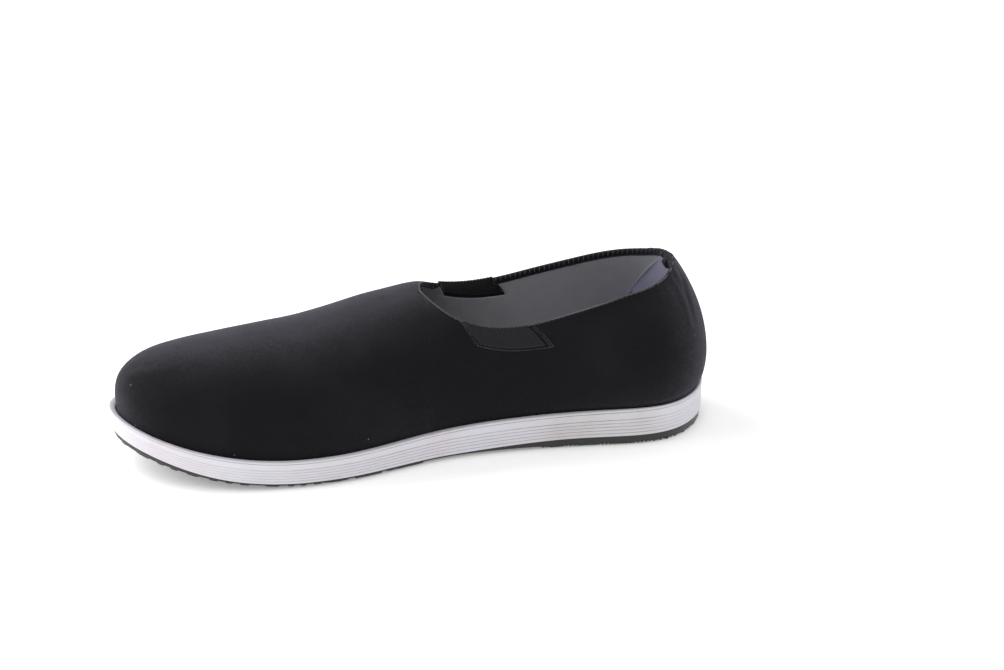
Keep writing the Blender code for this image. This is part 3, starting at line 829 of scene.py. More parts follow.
@dataclass
class Cut:
    """Points, faces and marks of one piece, which become a mesh object."""

    aslant: Point = (0.3, 0.2, 0.93)
    thread_tip: float = 0.55
    points: list[np.ndarray] = field(default_factory=list)
    faces: list[tuple[int, ...]] = field(default_factory=list)
    marks: dict[str, list[np.ndarray]] = field(default_factory=dict)
    count: int = 0

    def add(self, points: np.ndarray, faces: list[tuple[int, ...]], marks: Marks | None = None) -> None:
        """Add points with their faces, numbered from 0, and the marks on the points."""
        start = self.count
        self.points.append(points)
        self.faces.extend(tuple(start + k for k in face) for face in faces)
        self.count += len(points)
        for name, values in (marks or {}).items():
            self.marks.setdefault(name, []).append(np.column_stack([np.arange(start, self.count), values]))

    def lid(self, ring: np.ndarray, marks: Marks | None = None) -> None:
        """Close a ring that runs round the foot, with rungs from side to side."""
        count = len(ring)
        rungs = [(k, k + 1, (count - k - 1) % count, (count - k) % count) for k in range(count // 2)]
        self.add(ring, [tuple(dict.fromkeys(rung)) for rung in rungs], marks)

    def grid(
        self,
        points: np.ndarray,
        closed: bool = False,
        marks: Marks | None = None,
        keep: np.ndarray | None = None,
    ) -> None:
        """Add a sheet of quads.

        Args:
            points: An array of rows by columns by three.
            closed: Whether the last row joins the first.
            marks: Values on the points, as arrays of rows by columns.
            keep: Which quads to keep, as an array of rows - 1 by columns - 1.
        """
        rows, columns = points.shape[:2]
        faces = []
        for i in range(rows if closed else rows - 1):
            after = (i + 1) % rows
            for j in range(columns - 1):
                if keep is None or keep[i, j]:
                    near, far = i * columns + j, after * columns + j
                    faces.append((near, far, far + 1, near + 1))
        flat = {name: values.reshape(rows * columns, -1) for name, values in (marks or {}).items()}
        self.add(points.reshape(-1, 3), faces, flat)

    def tube(self, path: np.ndarray, radius: float, around: int = 6) -> None:
        """Add a round thread along a short path, closed at both ends."""
        along = unit(np.gradient(path, axis=0))
        first = unit(np.cross(along, self.aslant))
        second = np.cross(along, first)
        angles = np.linspace(0.0, 2.0 * math.pi, around, endpoint=False)
        swell = np.ones(len(path))
        swell[[0, -1]] = self.thread_tip
        ring = first[:, None, :] * np.cos(angles)[None, :, None]
        ring = ring + second[:, None, :] * np.sin(angles)[None, :, None]
        points = path[:, None, :] + ring * radius * swell[:, None, None]
        faces = []
        for i in range(len(path) - 1):
            for j in range(around):
                after = (j + 1) % around
                low, high = i * around, (i + 1) * around
                faces.append((low + j, low + after, high + after, high + j))
        last = (len(path) - 1) * around
        faces.append(tuple(range(around))[::-1])
        faces.append(tuple(last + j for j in range(around)))
        self.add(points.reshape(-1, 3), faces)

    def ridge(self, path: np.ndarray, width: float, height: float, up: float = -1.0) -> None:
        """Add a raised line of triangular section along a path.

        Args:
            path: Points along its foot.
            width: Width at its foot.
            height: Height of its edge.
            up: Direction of the edge in Z.
        """
        along = unit(np.gradient(path[:, :2], axis=0))
        aside = np.column_stack([along[:, 1], -along[:, 0], np.zeros(len(path))]) * width / 2.0
        edge = path + np.array([0.0, 0.0, height * up])
        rows = np.stack([path + aside, edge, path - aside], axis=1)
        faces = []
        for i in range(len(path) - 1):
            for j in range(2):
                faces.append((i * 3 + j, (i + 1) * 3 + j, (i + 1) * 3 + j + 1, i * 3 + j + 1))
        end = (len(path) - 1) * 3
        faces.append((0, 1, 2))
        faces.append((end + 2, end + 1, end))
        self.add(rows.reshape(-1, 3), faces)

    def piece(
        self, name: str, finish: bpy.types.Material, slot: Slot, crease: float = 40.0, weld: bool = True
    ) -> bpy.types.Object:
        """Make the object and let it ride.

        Args:
            name: The piece's name.
            finish: Its material.
            slot: The record's slot of that material; not used.
            crease: Faces that meet at more than this many degrees stay sharp.
            weld: Whether points in one place become one.

        Returns:
            The new object.
        """
        points = np.vstack(self.points)
        points[:, :2] += SoleForm().shift
        mesh = bpy.data.meshes.new(name)
        mesh.from_pydata(points.tolist(), [], [list(dict.fromkeys(face)) for face in self.faces])
        self.write_marks(mesh)
        built = bmesh.new()
        built.from_mesh(mesh)
        if weld:
            bmesh.ops.remove_doubles(built, verts=built.verts[:], dist=2e-6)
        bmesh.ops.dissolve_degenerate(built, edges=built.edges[:], dist=1e-7)
        bmesh.ops.delete(built, geom=[vert for vert in built.verts if not vert.link_faces], context="VERTS")
        bmesh.ops.recalc_face_normals(built, faces=built.faces[:])
        built.to_mesh(mesh)
        built.free()
        mesh.shade_smooth()
        mesh.set_sharp_from_angle(angle=math.radians(crease))
        mesh.materials.append(finish)
        made = bpy.data.objects.new(name, mesh)
        bpy.context.scene.collection.objects.link(made)
        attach(made, BODY)
        log.info("%s: %d faces", name, len(mesh.polygons))
        return made

    def write_marks(self, mesh: bpy.types.Mesh) -> None:
        """Store the marks on the points of the mesh."""
        for mark, parts in self.marks.items():
            table = np.vstack(parts)
            wide = table.shape[1] > 2
            values = np.zeros((self.count, 3 if wide else 1))
            values[table[:, 0].astype(int)] = table[:, 1:]
            kind, slot = ("FLOAT_VECTOR", "vector") if wide else ("FLOAT", "value")
            layer = mesh.attributes.new(mark, kind, "POINT")
            layer.data.foreach_set(slot, values.astype(np.float32).ravel())


def thicken(made: bpy.types.Object, thickness: float) -> None:
    """Give a sheet its thickness, inwards."""
    wall = made.modifiers.new("thickness", "SOLIDIFY")
    wall.thickness = thickness
    wall.offset = -1.0
    wall.use_even_offset = False


def spaced(path: np.ndarray, pitch: float) -> tuple[np.ndarray, np.ndarray]:
    """Even stations along a line, and the running distance of each of its points."""
    run = np.concatenate([[0.0], np.cumsum(np.linalg.norm(np.diff(path, axis=0), axis=1))])
    count = max(2, int(run[-1] / pitch))
    return (np.arange(count) + 0.5) * run[-1] / count, run


@dataclass(frozen=True)
class Stitch:
    """A row of running stitches: its pitch, the share that shows as thread, and the thread's radius."""

    pitch: float
    shown: float
    radius: float

    def sew(self, cut: Cut, path: np.ndarray, normals: np.ndarray) -> None:
        """Add the stitches. They lie on a surface and dip into it at their ends.

        Args:
            cut: The piece that takes them.
            path: Points of the row.
            normals: Directions out of the surface at those points.
        """
        table = np.column_stack([path, normals])
        middles, run = spaced(table, self.pitch)
        step = np.linspace(-1.0, 1.0, 5)
        reach = self.pitch * self.shown / 2.0
        lift = (1.0 - step**4) * self.radius * 0.9 - self.radius * 0.5
        for middle in middles:
            places = middle + step * reach
            found = np.column_stack([np.interp(places, run, column) for column in table.T])
            cut.tube(found[:, :3] + unit(found[:, 3:]) * lift[:, None], self.radius, 5)


@dataclass(frozen=True)
class LighterPatch:
    """A patch where the cloth is painted a lighter grey, for rubbed nap and for a painted highlight: how much,
    and where it comes in along the foot and upwards.
    """

    amount: float
    along: tuple[float, float]
    upwards: tuple[float, float]

    def at(self, y: np.ndarray, z: np.ndarray) -> np.ndarray:
        """How rubbed places are."""
        return self.amount * ease(y, *self.along) * ease(z, *self.upwards)


@dataclass
class Upper:
    """Cloth shell of the shoe with its lining, gores and stitches."""

    last: Last
    finishes: Finishes
    cloth: float = 0.0012
    lining_inset: float = 0.0013
    lining: float = 0.0006
    lining_top: float = 0.955
    foot_length: float = 0.31
    kink_width: float = 0.034
    kink_steps: int = 220
    kink_fade: float = 0.50
    gore_web: float = 0.0011
    gore_edge: float = 0.0008
    gore_ribs: int = 17
    rib_height: float = 0.00028
    hem_radius: float = 0.00105
    seam_rows: tuple[float, float] = (0.0042, 0.0078)
    seam_stitch: Stitch = Stitch(0.0024, 0.68, 0.00019)
    seam_drop: float = 0.020
    seam_top: float = 0.965
    web_top: float = 0.992
    web_drop: float = 0.006
    web_inset: float = 0.0005
    hem_top: float = 0.985
    hem_inset: float = 0.0009
    lining_stitch: Stitch = Stitch(0.0026, 0.66, 0.00018)
    lining_fold: float = 0.00038
    lining_face: float = 0.0020
    heel_seam_heights: tuple[float, float] = (0.022, 0.0715)
    stitch_step: float = 0.0018
    wave: float = 0.00012
    small_wave: float = 0.00005
    foot_pucker: float = 0.00013
    heel_pucker: float = 0.00026
    lighter_patches: tuple[LighterPatch, ...] = (
        # worn nap at the back of the heel and under the collar
        LighterPatch(0.55, (0.112, 0.130), (0.045, 0.072)),
        LighterPatch(0.40, (0.122, 0.130), (0.068, 0.074)),
        # a painted highlight on the top of the toe
        LighterPatch(0.32, (-0.070, -0.112), (0.044, 0.054)),
    )

    def __post_init__(self) -> None:
        """Lay out the stations of the cloth and work out its surface."""
        throat, tongue = self.last.throat, self.last.throat + self.last.tongue_share
        first, final = self.last.gore
        runs = [(0.0, throat, 104), (throat, tongue, 16), (tongue, first, 10), (first, final, 16)]
        runs.append((final, 1.0, 72))
        self.shares = np.concatenate([np.linspace(a, b, n, endpoint=False) for a, b, n in runs] + [[1.0]])
        below = np.linspace(0.0, self.last.gore_level, 34, endpoint=False)
        self.levels = np.concatenate([below, np.linspace(self.last.gore_level, 1.0, 17)])
        self.tree = self.surface_tree()

    def raw(self, side: Side) -> np.ndarray:
        """Grid of the smooth outer surface, with the footing as its first level."""
        low = self.last.footing(self.shares, side)
        return np.concatenate([low[:, None, :], self.eased_wall(side)], axis=1)

    def eased_wall(self, side: Side) -> np.ndarray:
        """The wall with the faint kink evened out where the topline begins."""
        grid = self.last.wall(self.shares, self.levels, side)
        even = grid.copy()
        near = np.exp(-(((self.shares[1:-1] - self.last.throat) / self.kink_width) ** 2))[:, None, None]
        for _ in range(self.kink_steps):
            even[1:-1] += 0.6 * near * ((even[:-2] + even[2:]) / 2.0 - even[1:-1])
        kept = ease(self.levels, self.kink_fade, 1.0)[None, :, None]
        return even * (1.0 - kept) + grid * kept

    def surface_tree(self) -> BVHTree:
        """Search tree of the smooth surface, for normals at any place."""
        points, faces = [], []
        for side in Side:
            grid = self.raw(side)
            rows, columns = grid.shape[:2]
            start = len(points)
            points.extend(grid.reshape(-1, 3).tolist())
            for i in range(rows - 1):
                for j in range(columns - 1):
                    base = start + i * columns + j
                    face = (base, base + columns, base + columns + 1, base + 1)
                    faces.append(face if side is Side.MEDIAL else face[::-1])
        return BVHTree.FromPolygons(points, faces)

    def normals(self, points: np.ndarray) -> np.ndarray:
        """Directions out of the shoe at points on or near its surface."""
        centre = np.array([0.0, 0.0, 0.030])
        found = []
        for point in points.reshape(-1, 3):
            normal = np.array(self.tree.find_nearest(point.tolist())[1])
            heart = centre + (0.0, point[1] * 0.92, 0.0)
            found.append(normal if np.dot(normal, point - heart) > 0 else -normal)
        return np.array(found).reshape(points.shape)

    def smooth_normals(self, grid: np.ndarray) -> np.ndarray:
        """Normals of a grid, averaged from its neighbours so that they run evenly."""
        found = self.normals(grid)
        for _ in range(2):
            padded = np.pad(found, ((1, 1), (1, 1), (0, 0)), mode="edge")
            around = padded[:-2, 1:-1] + padded[2:, 1:-1] + padded[1:-1, :-2] + padded[1:-1, 2:]
            found = unit(around + 2.0 * found)
        return found

    def relief(self, points: np.ndarray, levels: np.ndarray) -> np.ndarray:
        """Height of the cloth over its smooth form: soft waves, a crease at the toe and puckers.

        Args:
            points: Places on the surface.
            levels: How far up the wall each lies, from 0 to 1.

        Returns:
            Heights in metres.
        """
        x, y, z = points[..., 0], points[..., 1], points[..., 2]
        waves = self.wave * np.sin(x * 96.0 + y * 61.0 + 0.4) * np.sin(y * 118.0 - z * 75.0 + 1.1)
        waves += self.small_wave * np.sin(x * 205.0 - y * 160.0 + 2.0) * np.sin(z * 230.0 + y * 90.0)
        height = waves * ease(levels, 0.0, 0.15)
        for crease in CREASES:
            height = height + crease.height(points)
        foot = self.foot_pucker * np.exp(-levels / 0.05) * np.sin(y * 1400.0 + x * 900.0)
        foot = foot * np.sin(y * 610.0 - x * 400.0)
        around = np.arctan2(x, y - 0.098)
        heel = ease(y, 0.106, 0.122) * ease(levels, 0.62, 0.97)
        puckers = self.heel_pucker * np.sin(around * 31.0 + 0.7) * (0.55 + 0.45 * np.sin(around * 11.0 + 1.9))
        return height + foot + heel * puckers

    def cloth_marks(self, grid: np.ndarray, shares: np.ndarray) -> np.ndarray:
        """Distances along the foot and down from the top edge at each point, as a weave needs them."""
        steps = np.linalg.norm(np.diff(grid, axis=1), axis=2)[:, ::-1]
        down = np.concatenate([np.zeros((grid.shape[0], 1)), np.cumsum(steps, axis=1)], axis=1)[:, ::-1]
        along = np.broadcast_to((shares * self.foot_length)[:, None], down.shape)
        return np.stack([along, down, np.zeros_like(down)], axis=2)

    def keep(self) -> np.ndarray:
        """Quads of the cloth that lie outside a gore."""
        first, final = self.last.gore
        columns = (self.shares[:-1] >= first - 1e-9) & (self.shares[1:] <= final + 1e-9)
        levels = np.concatenate([[False], self.levels[:-1] >= self.last.gore_level - 1e-9])
        return ~(columns[:, None] & levels[None, :])

    def shared(self, levels: np.ndarray) -> np.ndarray:
        """Points that both sides have in common: the ridge ahead of the throat and the two ends."""
        ends = (self.shares < 1e-9) | (self.shares > 1.0 - 1e-9)
        return ((self.shares <= self.last.throat + 1e-9)[:, None] & (levels > 0.999)) | ends[:, None]

    def sheet(self, name: str, inset: float, finish: bpy.types.Material, slot: Slot) -> bpy.types.Object:
        """One layer of the upper.

        Args:
            name: The piece's name.
            inset: How far inside the outer surface its outer face lies.
            finish: Its material.
            slot: The record's slot.

        Returns:
            The new object, without its thickness.
        """
        cut = Cut()
        all_levels = np.concatenate([[0.0], self.levels])
        levels = np.broadcast_to(all_levels, (len(self.shares), len(all_levels)))
        shared = self.shared(levels)
        share = 1.0 if inset == 0.0 else 0.5
        grids = {side: self.raw(side) for side in Side}
        ways = {side: self.smooth_normals(grid) for side, grid in grids.items()}
        middle = unit(ways[Side.MEDIAL] + ways[Side.LATERAL])
        meet = (grids[Side.MEDIAL] + grids[Side.LATERAL]) / 2.0
        keep = self.keep()
        if inset > 0.0:
            under_binding = np.concatenate([[False], self.levels[:-1] > self.lining_top])
            keep &= ~((self.shares[:-1] >= self.last.throat)[:, None] & under_binding[None, :])
        for side, grid in grids.items():
            base = np.where(shared[..., None], meet, grid)
            height = self.relief(base, levels) * share - inset
            points = base + np.where(shared[..., None], middle, ways[side]) * height[..., None]
            marks = {"cloth": self.cloth_marks(grid, self.shares), "wear_and_toe_highlight": self.wear_and_toe_highlight(grid)}
            marks["heel_piece"] = self.heel_piece(grid)
            cut.grid(points, marks=marks, keep=keep)
        return cut.piece(name, finish, slot, crease=70.0)

    def wear_and_toe_highlight(self, grid: np.ndarray) -> np.ndarray:
        """Where the cloth is painted lighter: rubbed nap at the back of the heel and under the collar, and a
        painted highlight on the top of the toe.
        """
        return sum(lighter_patch.at(grid[..., 1], grid[..., 2]) for lighter_patch in self.lighter_patches)

    def heel_seam(self, z: np.ndarray) -> np.ndarray:
        """Station of the slanting seam in front of the lining's heel piece, at a height."""
        return 0.1156 + (np.asarray(z) - 0.0477) * 0.37

    def heel_piece(self, grid: np.ndarray) -> np.ndarray:
        """Where the lining's blue grey heel piece lies, from 0 to 1."""
        return ease(grid[..., 1] - self.heel_seam(grid[..., 2]), -0.0004, 0.0004)

    def build(self) -> None:
        """Build the cloth, the lining and what is sewn to them."""
        shell = self.sheet("upper_cloth", 0.0, self.finishes.cotton, Slot.COTTON)
        thicken(shell, self.cloth)
        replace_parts(shell, "upper")
        thicken(self.sheet("upper_lining", self.lining_inset, self.finishes.lining, Slot.LINING), self.lining)
        self.lining_seam()
        self.gores()

    def lining_seam(self) -> None:
        """Folded edge and stitches of the lining's heel piece."""
        stitches, fold = Cut(), Cut()
        stations = np.linspace(self.last.throat + 0.05, 1.0, 120)
        for side in Side:
            line = self.last.wall(stations, np.array([0.15, 0.5, 0.85, 1.0]), side, self.lining_face)
            path = []
            for z in np.linspace(*self.heel_seam_heights, 60):
                y = float(self.heel_seam(z))
                flat = np.array([[np.interp(z, row[:, 2], row[:, k]) for k in (0, 1)] for row in line])
                path.append((np.interp(y, flat[:, 1], flat[:, 0]), y, z))
            points = np.array(path)
            inward = -self.normals(points)
            fold.tube(points + inward * 0.00005, self.lining_fold, 6)
            beside = points + inward * 0.00010 + (0.0, self.stitch_step, 0.0)
            self.lining_stitch.sew(stitches, beside, inward)
        fold.piece("lining_seam_fold", self.finishes.lining, Slot.LINING)
        stitches.piece("lining_seam_stitches", self.finishes.grey_thread, Slot.LINING, weld=False)

    def gores(self) -> None:
        """Elastic gores between the tongue and the quarters, with the hems and stitches round them."""
        first, final = self.last.gore
        seams, hem = Cut(), Cut()
        for side in Side:
            self.hem(hem, side)
            self.gore(side)
            for away in self.seam_rows:
                bottom = self.last.gore_level - self.seam_drop - away
                high = np.linspace(bottom, self.seam_top, 40)
                self.seam(seams, np.full(40, first - away), high, side)
                self.seam(seams, np.full(40, final + away), high, side)
                across = np.linspace(first - away, final + away, 60)
                self.seam(seams, across, np.full(60, bottom), side)
        hem.piece("gore_hem_roll", self.finishes.cotton, Slot.COTTON)
        seams.piece("gore_seam_stitches", self.finishes.dark_thread, Slot.COTTON, weld=False)

    def gore(self, side: Side) -> None:
        """Build the elastic web of one gore, with ribs along its height."""
        first, final = self.last.gore
        stations = np.linspace(first + self.gore_edge, final - self.gore_edge, 240)
        levels = np.linspace(self.last.gore_level + self.web_drop, self.web_top, 14)
        grid = self.last.wall(stations, levels, side, self.web_inset)
        ribs = 0.5 + 0.5 * np.sin(np.linspace(0.0, self.gore_ribs * 2.0 * math.pi, len(stations)))
        height = np.broadcast_to(ribs[:, None], grid.shape[:2])
        marks = {"rib": height.copy(), "cloth": self.cloth_marks(grid, stations)}
        cut = Cut()
        cut.grid(grid + self.smooth_normals(grid) * (height * self.rib_height)[..., None], marks=marks)
        name = side.name.lower()
        made = cut.piece(f"elastic_gore_web_{name}", self.finishes.elastic, Slot.ELASTIC, crease=70.0)
        thicken(made, self.gore_web)
        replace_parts(made, f"elastic_gore_{name}")

    def on_wall(self, shares: np.ndarray, levels: np.ndarray, side: Side, inset: float = 0.0) -> np.ndarray:
        """Points of a line drawn on the wall, one station and one level for each."""
        return np.array([self.last.wall([s], [h], side, inset)[0, 0] for s, h in zip(shares, levels)])

    def hem(self, cut: Cut, side: Side) -> None:
        """Add the rolled hem along the three edges of the cloth round a gore."""
        first, final = self.last.gore
        high = np.linspace(self.hem_top, self.last.gore_level, 24)
        across = np.linspace(first, final, 40)[1:-1]
        shares = np.concatenate([np.full(24, first), across, np.full(24, final)])
        levels = np.concatenate([high, np.full(38, self.last.gore_level), high[::-1]])
        cut.tube(self.on_wall(shares, levels, side, self.hem_inset), self.hem_radius, 8)

    def seam(self, cut: Cut, shares: np.ndarray, levels: np.ndarray, side: Side) -> None:
        """Add a row of stitches along a line drawn on the wall.

        Args:
            cut: The piece that takes them.
            shares: Stations of the line.
            levels: Its levels up the wall.
            side: The side of the shoe.
        """
        points = self.on_wall(shares, levels, side)
        points = points + self.normals(points) * self.relief(points, levels)[:, None]
        self.seam_stitch.sew(cut, points, self.normals(points))


@dataclass
class Collar:
    """Bound edge of the topline with its stitches."""

    upper: Upper
    nose: float = 0.0011
    wall: float = 0.0020
    inside: float = 0.0031
    fold: float = 0.0040
    fold_start: float = 0.940
    fold_drop: float = 1.15
    gathers: float = 170.0
    # radius of a grey cord along the top of the binding that stands in for its highlight: a painted highlight
    highlight_cord: float = 0.00026
    whip_pitch: float = 0.0024
    whip_radius: float = 0.00017
    whip_slant: float = 0.0005
    round_over: float = 0.0012
    row_stitch: Stitch = Stitch(0.0026, 0.66, 0.00020)

    def frames(self, side: Side, top: np.ndarray) -> tuple[np.ndarray, np.ndarray, np.ndarray]:
        """Places along the topline, with the ways down the wall and out of it.

        Args:
            side: The side of the shoe.
            top: Shares of the topline, from the tongue to the heel.

        Returns:
            Places, directions down the wall and directions out of it.
        """
        places = self.upper.last.topline[side](top)
        along = unit(np.gradient(places, axis=0))
        normals = self.upper.normals(places)
        for _ in range(12):
            padded = np.vstack([normals[:1], normals, normals[-1:]])
            normals = unit(padded[:-2] + padded[2:] + normals)
        normals = unit(normals - along * np.sum(normals * along, axis=1)[:, None])
        down = np.cross(normals, along)
        away = places - np.array([0.0, 0.060, places[:, 2].mean() + 0.05])
        down = np.where(np.sum(down * away, axis=1)[:, None] > 0, down, -down)
        return places, unit(down), normals

    def sections(self, side: Side, top: np.ndarray) -> np.ndarray:
        """Profile of the binding at places along the topline: out, over the edge and in."""
        places, down, out = self.frames(side, top)
        turns = np.linspace(0.0, math.pi, 9)
        heel = ease(top, self.fold_start, 0.985)
        gather = heel * (0.62 + 0.38 * np.sin((1.0 - top) * self.gathers)) * self.fold
        inside = self.inside * (1.0 + self.fold_drop * heel)
        fixed = [(0.0019, -0.0004, 0.0), (0.0016, 0.00012, 0.0)]
        for a in turns:
            over = self.nose - self.round_over * math.sin(a)
            across = -self.wall / 2.0 + self.round_over * math.cos(a)
            fixed.append((over, across, 0.5 - 0.5 * math.cos(a)))
        rows = [places + down * d + out * (n - gather * share)[:, None] for d, n, share in fixed]
        full = self.wall + 0.0002 + gather * 1.15
        rows.append(places + down * (inside * 0.6)[:, None] - out * full[:, None])
        rows.append(places + down * inside[:, None] - out * (self.wall + 0.0001 + gather * 0.6)[:, None])
        rows.append(places + down * (inside + 0.0001)[:, None] - out * (self.wall - 0.0003))
        return np.stack(rows, axis=1)

    def strips(self) -> dict[str, np.ndarray]:
        """Sections of the two runs of binding: round the tongue, and round the heel."""
        first, final = (float(self.upper.last.top_share(place)) for place in self.upper.last.gore)
        front = np.linspace(0.0, first, 60)
        back = np.linspace(final, 1.0, 200)
        medial, lateral = Side.MEDIAL, Side.LATERAL
        tongue = np.concatenate([self.sections(lateral, front)[::-1], self.sections(medial, front)[1:]])
        heel = np.concatenate([self.sections(medial, back), self.sections(lateral, back)[::-1][1:]])
        return {"tongue": tongue, "heel": heel}

    def build(self) -> None:
        """Build the binding, the overcast stitches on its edge and the row inside."""
        finishes = self.upper.finishes
        band, whip, row, highlight_cord = Cut(), Cut(), Cut(), Cut()
        for rows in self.strips().values():
            band.grid(np.concatenate([rows, rows[:, :1]], axis=1))
            for end in (rows[0], rows[-1]):
                band.add(end, [tuple(range(len(end)))])
            # grey cord along the outer top of the binding: a painted highlight
            highlight_cord.tube(rows[:, 4], self.highlight_cord, 6)
            self.whip(whip, rows)
            inner = rows[:, -3] * 0.25 + rows[:, -2] * 0.75
            out = unit(rows[:, -3] - rows[:, 1])
            self.row_stitch.sew(row, inner, out)
        band.piece("collar_binding", finishes.cotton, Slot.COTTON, crease=60.0)
        highlight_cord.piece("collar_highlight_cord", finishes.grey_thread, Slot.LINING)
        whip.piece("collar_overcast_stitches", finishes.dark_thread, Slot.COTTON, weld=False)
        row.piece("binding_stitch_row", finishes.dark_thread, Slot.COTTON, weld=False)

    def whip(self, cut: Cut, rows: np.ndarray) -> None:
        """Add stitches that wrap the edge of the binding at a slant."""
        middles, run = spaced(rows[:, 6], self.whip_pitch)
        columns = np.array([2, 3, 4, 6, 8, 9, 10])
        core = rows[:, 11] * 0.5 + rows[:, 1] * 0.5
        slant = np.linspace(-self.whip_slant, self.whip_slant, len(columns))
        lift = np.array([-0.0001, 0.00012, 0.00016, 0.00018, 0.00016, 0.00012, -0.0001])
        for middle in middles:
            index = np.interp(middle + slant, run, np.arange(len(run)))
            low = np.clip(index.astype(int), 0, len(rows) - 2)
            part = (index - low)[:, None]
            path = rows[low, columns] * (1.0 - part) + rows[low + 1, columns] * part
            cut.tube(path + unit(path - core[low]) * lift[:, None], self.whip_radius, 5)


@dataclass
class FoxingBand:
    """White rubber band round the sole: ribs, a smooth bead at the top and the cup inside."""

    sole: SoleForm
    finishes: Finishes
    ribs: int = 5
    bead_share: float = 0.375
    groove: float = 0.00026
    face: float = 0.0002
    crown: float = 0.00016
    toe_reach: tuple[float, float] = (0.090, 0.135)
    toe_lift: float = 0.0013
    toe_flare: float = 0.0007
    # how strongly the band is painted darker: painted shade from the waist towards the heel, and a slight
    # darkening at the toe tip
    waist_painted_shade: float = 0.45
    toe_darkening: float = 0.10
    end_mark: float = 0.4
    columns: int = 170

    def profile(self) -> list[tuple[float, float, float]]:
        """Outer face as (inset, share of the height, how deep in a groove)."""
        rows = [(-0.0009, 0.0, 0.6), (-0.0004, 0.012, 0.3)]
        pitch = (1.0 - self.bead_share) / self.ribs
        for k in range(self.ribs):
            foot = k * pitch
            for across in np.linspace(0.08, 0.92, 7):
                crown = self.crown * (1.0 - abs(2.0 * across - 1.0) ** 3)
                rows.append((crown - self.face, foot + across * pitch, 0.0))
            rows.append((-self.face - self.groove, foot + pitch * 0.985, 1.0))
            rows.append((-self.face - self.groove * 0.9, foot + pitch * 1.012, 1.0))
        top = 1.0 - self.bead_share
        rows += [(-0.00002, top + 0.022, 0.1), (0.00002, top + 0.055, 0.0), (0.00004, 0.900, 0.0)]
        rows += [(-0.00032, 0.908, 1.0), (-0.00032, 0.916, 1.0), (0.00014, 0.932, 0.0), (0.00014, 0.965, 0.0)]
        rows += [(-0.00004, 0.988, 0.0), (-0.00040, 1.0, 0.0)]
        return rows

    def groove_share(self, ring: np.ndarray) -> np.ndarray:
        """How deep the grooves are at each place: rubbed down nearly smooth round the toe and the heel end."""
        y = ring[:, 1]
        toe = 0.15 + 0.85 * ease(y, -0.105, -0.020)
        return toe * (1.0 - 0.85 * ease(y, 0.098, 0.128))

    def build(self) -> None:
        """Build the band and its cup as one moulding."""
        ring = self.sole.outline(self.columns)
        rings, grooves = [], []
        plain = 1.0 - self.groove_share(ring)
        for inset, share, deep in self.profile():
            carved = min(max(-self.face - inset, 0.0), self.groove) * (0.05 < share < 0.8)
            flare = self.toe_flare * (1.0 - share) * ease(-ring[:, 1], *self.toe_reach)
            outer = self.sole.band_ring(ring, inset + carved * plain + flare, share)
            lift = self.toe_lift * ease(-outer[:, 1], *self.toe_reach)
            low = self.sole.tread_edge(outer[:, 1]) + self.sole.gap + lift
            height = low + (self.sole.band_top(outer[:, 1]) - low) * share
            rings.append(np.column_stack([outer, height]))
            grooves.append(deep * (1.0 - 0.8 * plain))
        lip = self.sole.lip(ring[:, 1])
        for inset, drop in ((0.0005, 0.0), (0.00005, 0.0002), (0.0, 0.0006), (0.0, self.sole.lip_height)):
            inner = self.sole.band_ring(ring, -lip + inset)
            rings.append(np.column_stack([inner, self.sole.band_top(inner[:, 1]) - drop]))
            grooves.append(np.full(len(ring), 0.8 if drop else 0.25))
        cut = Cut()
        sheet = np.stack(rings, axis=1)
        y = ring[:, 1]
        # painted shade from the waist towards the heel, fading out before the heel end, and a slight darkening
        # at the toe tip
        waist_shade_and_toe_darkening = self.waist_painted_shade * ease(y, 0.020, 0.070) * (1.0 - ease(y, 0.085, 0.125))
        waist_shade_and_toe_darkening = waist_shade_and_toe_darkening + self.toe_darkening * ease(-y, 0.110, 0.135)
        waist_shade_and_toe_darkening = np.broadcast_to(waist_shade_and_toe_darkening[:, None], sheet.shape[:2]).copy()
        cut.grid(sheet, closed=True, marks={"groove": np.stack(grooves, axis=1), "waist_shade_and_toe_darkening": waist_shade_and_toe_darkening})
        for end in (rings[0], rings[-1]):
            cut.lid(end, {"groove": np.full((len(end), 1), self.end_mark)})
        made = cut.piece("foxing_band", self.finishes.white_rubber, Slot.BAND, crease=50.0)
        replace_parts(made, "midsole")


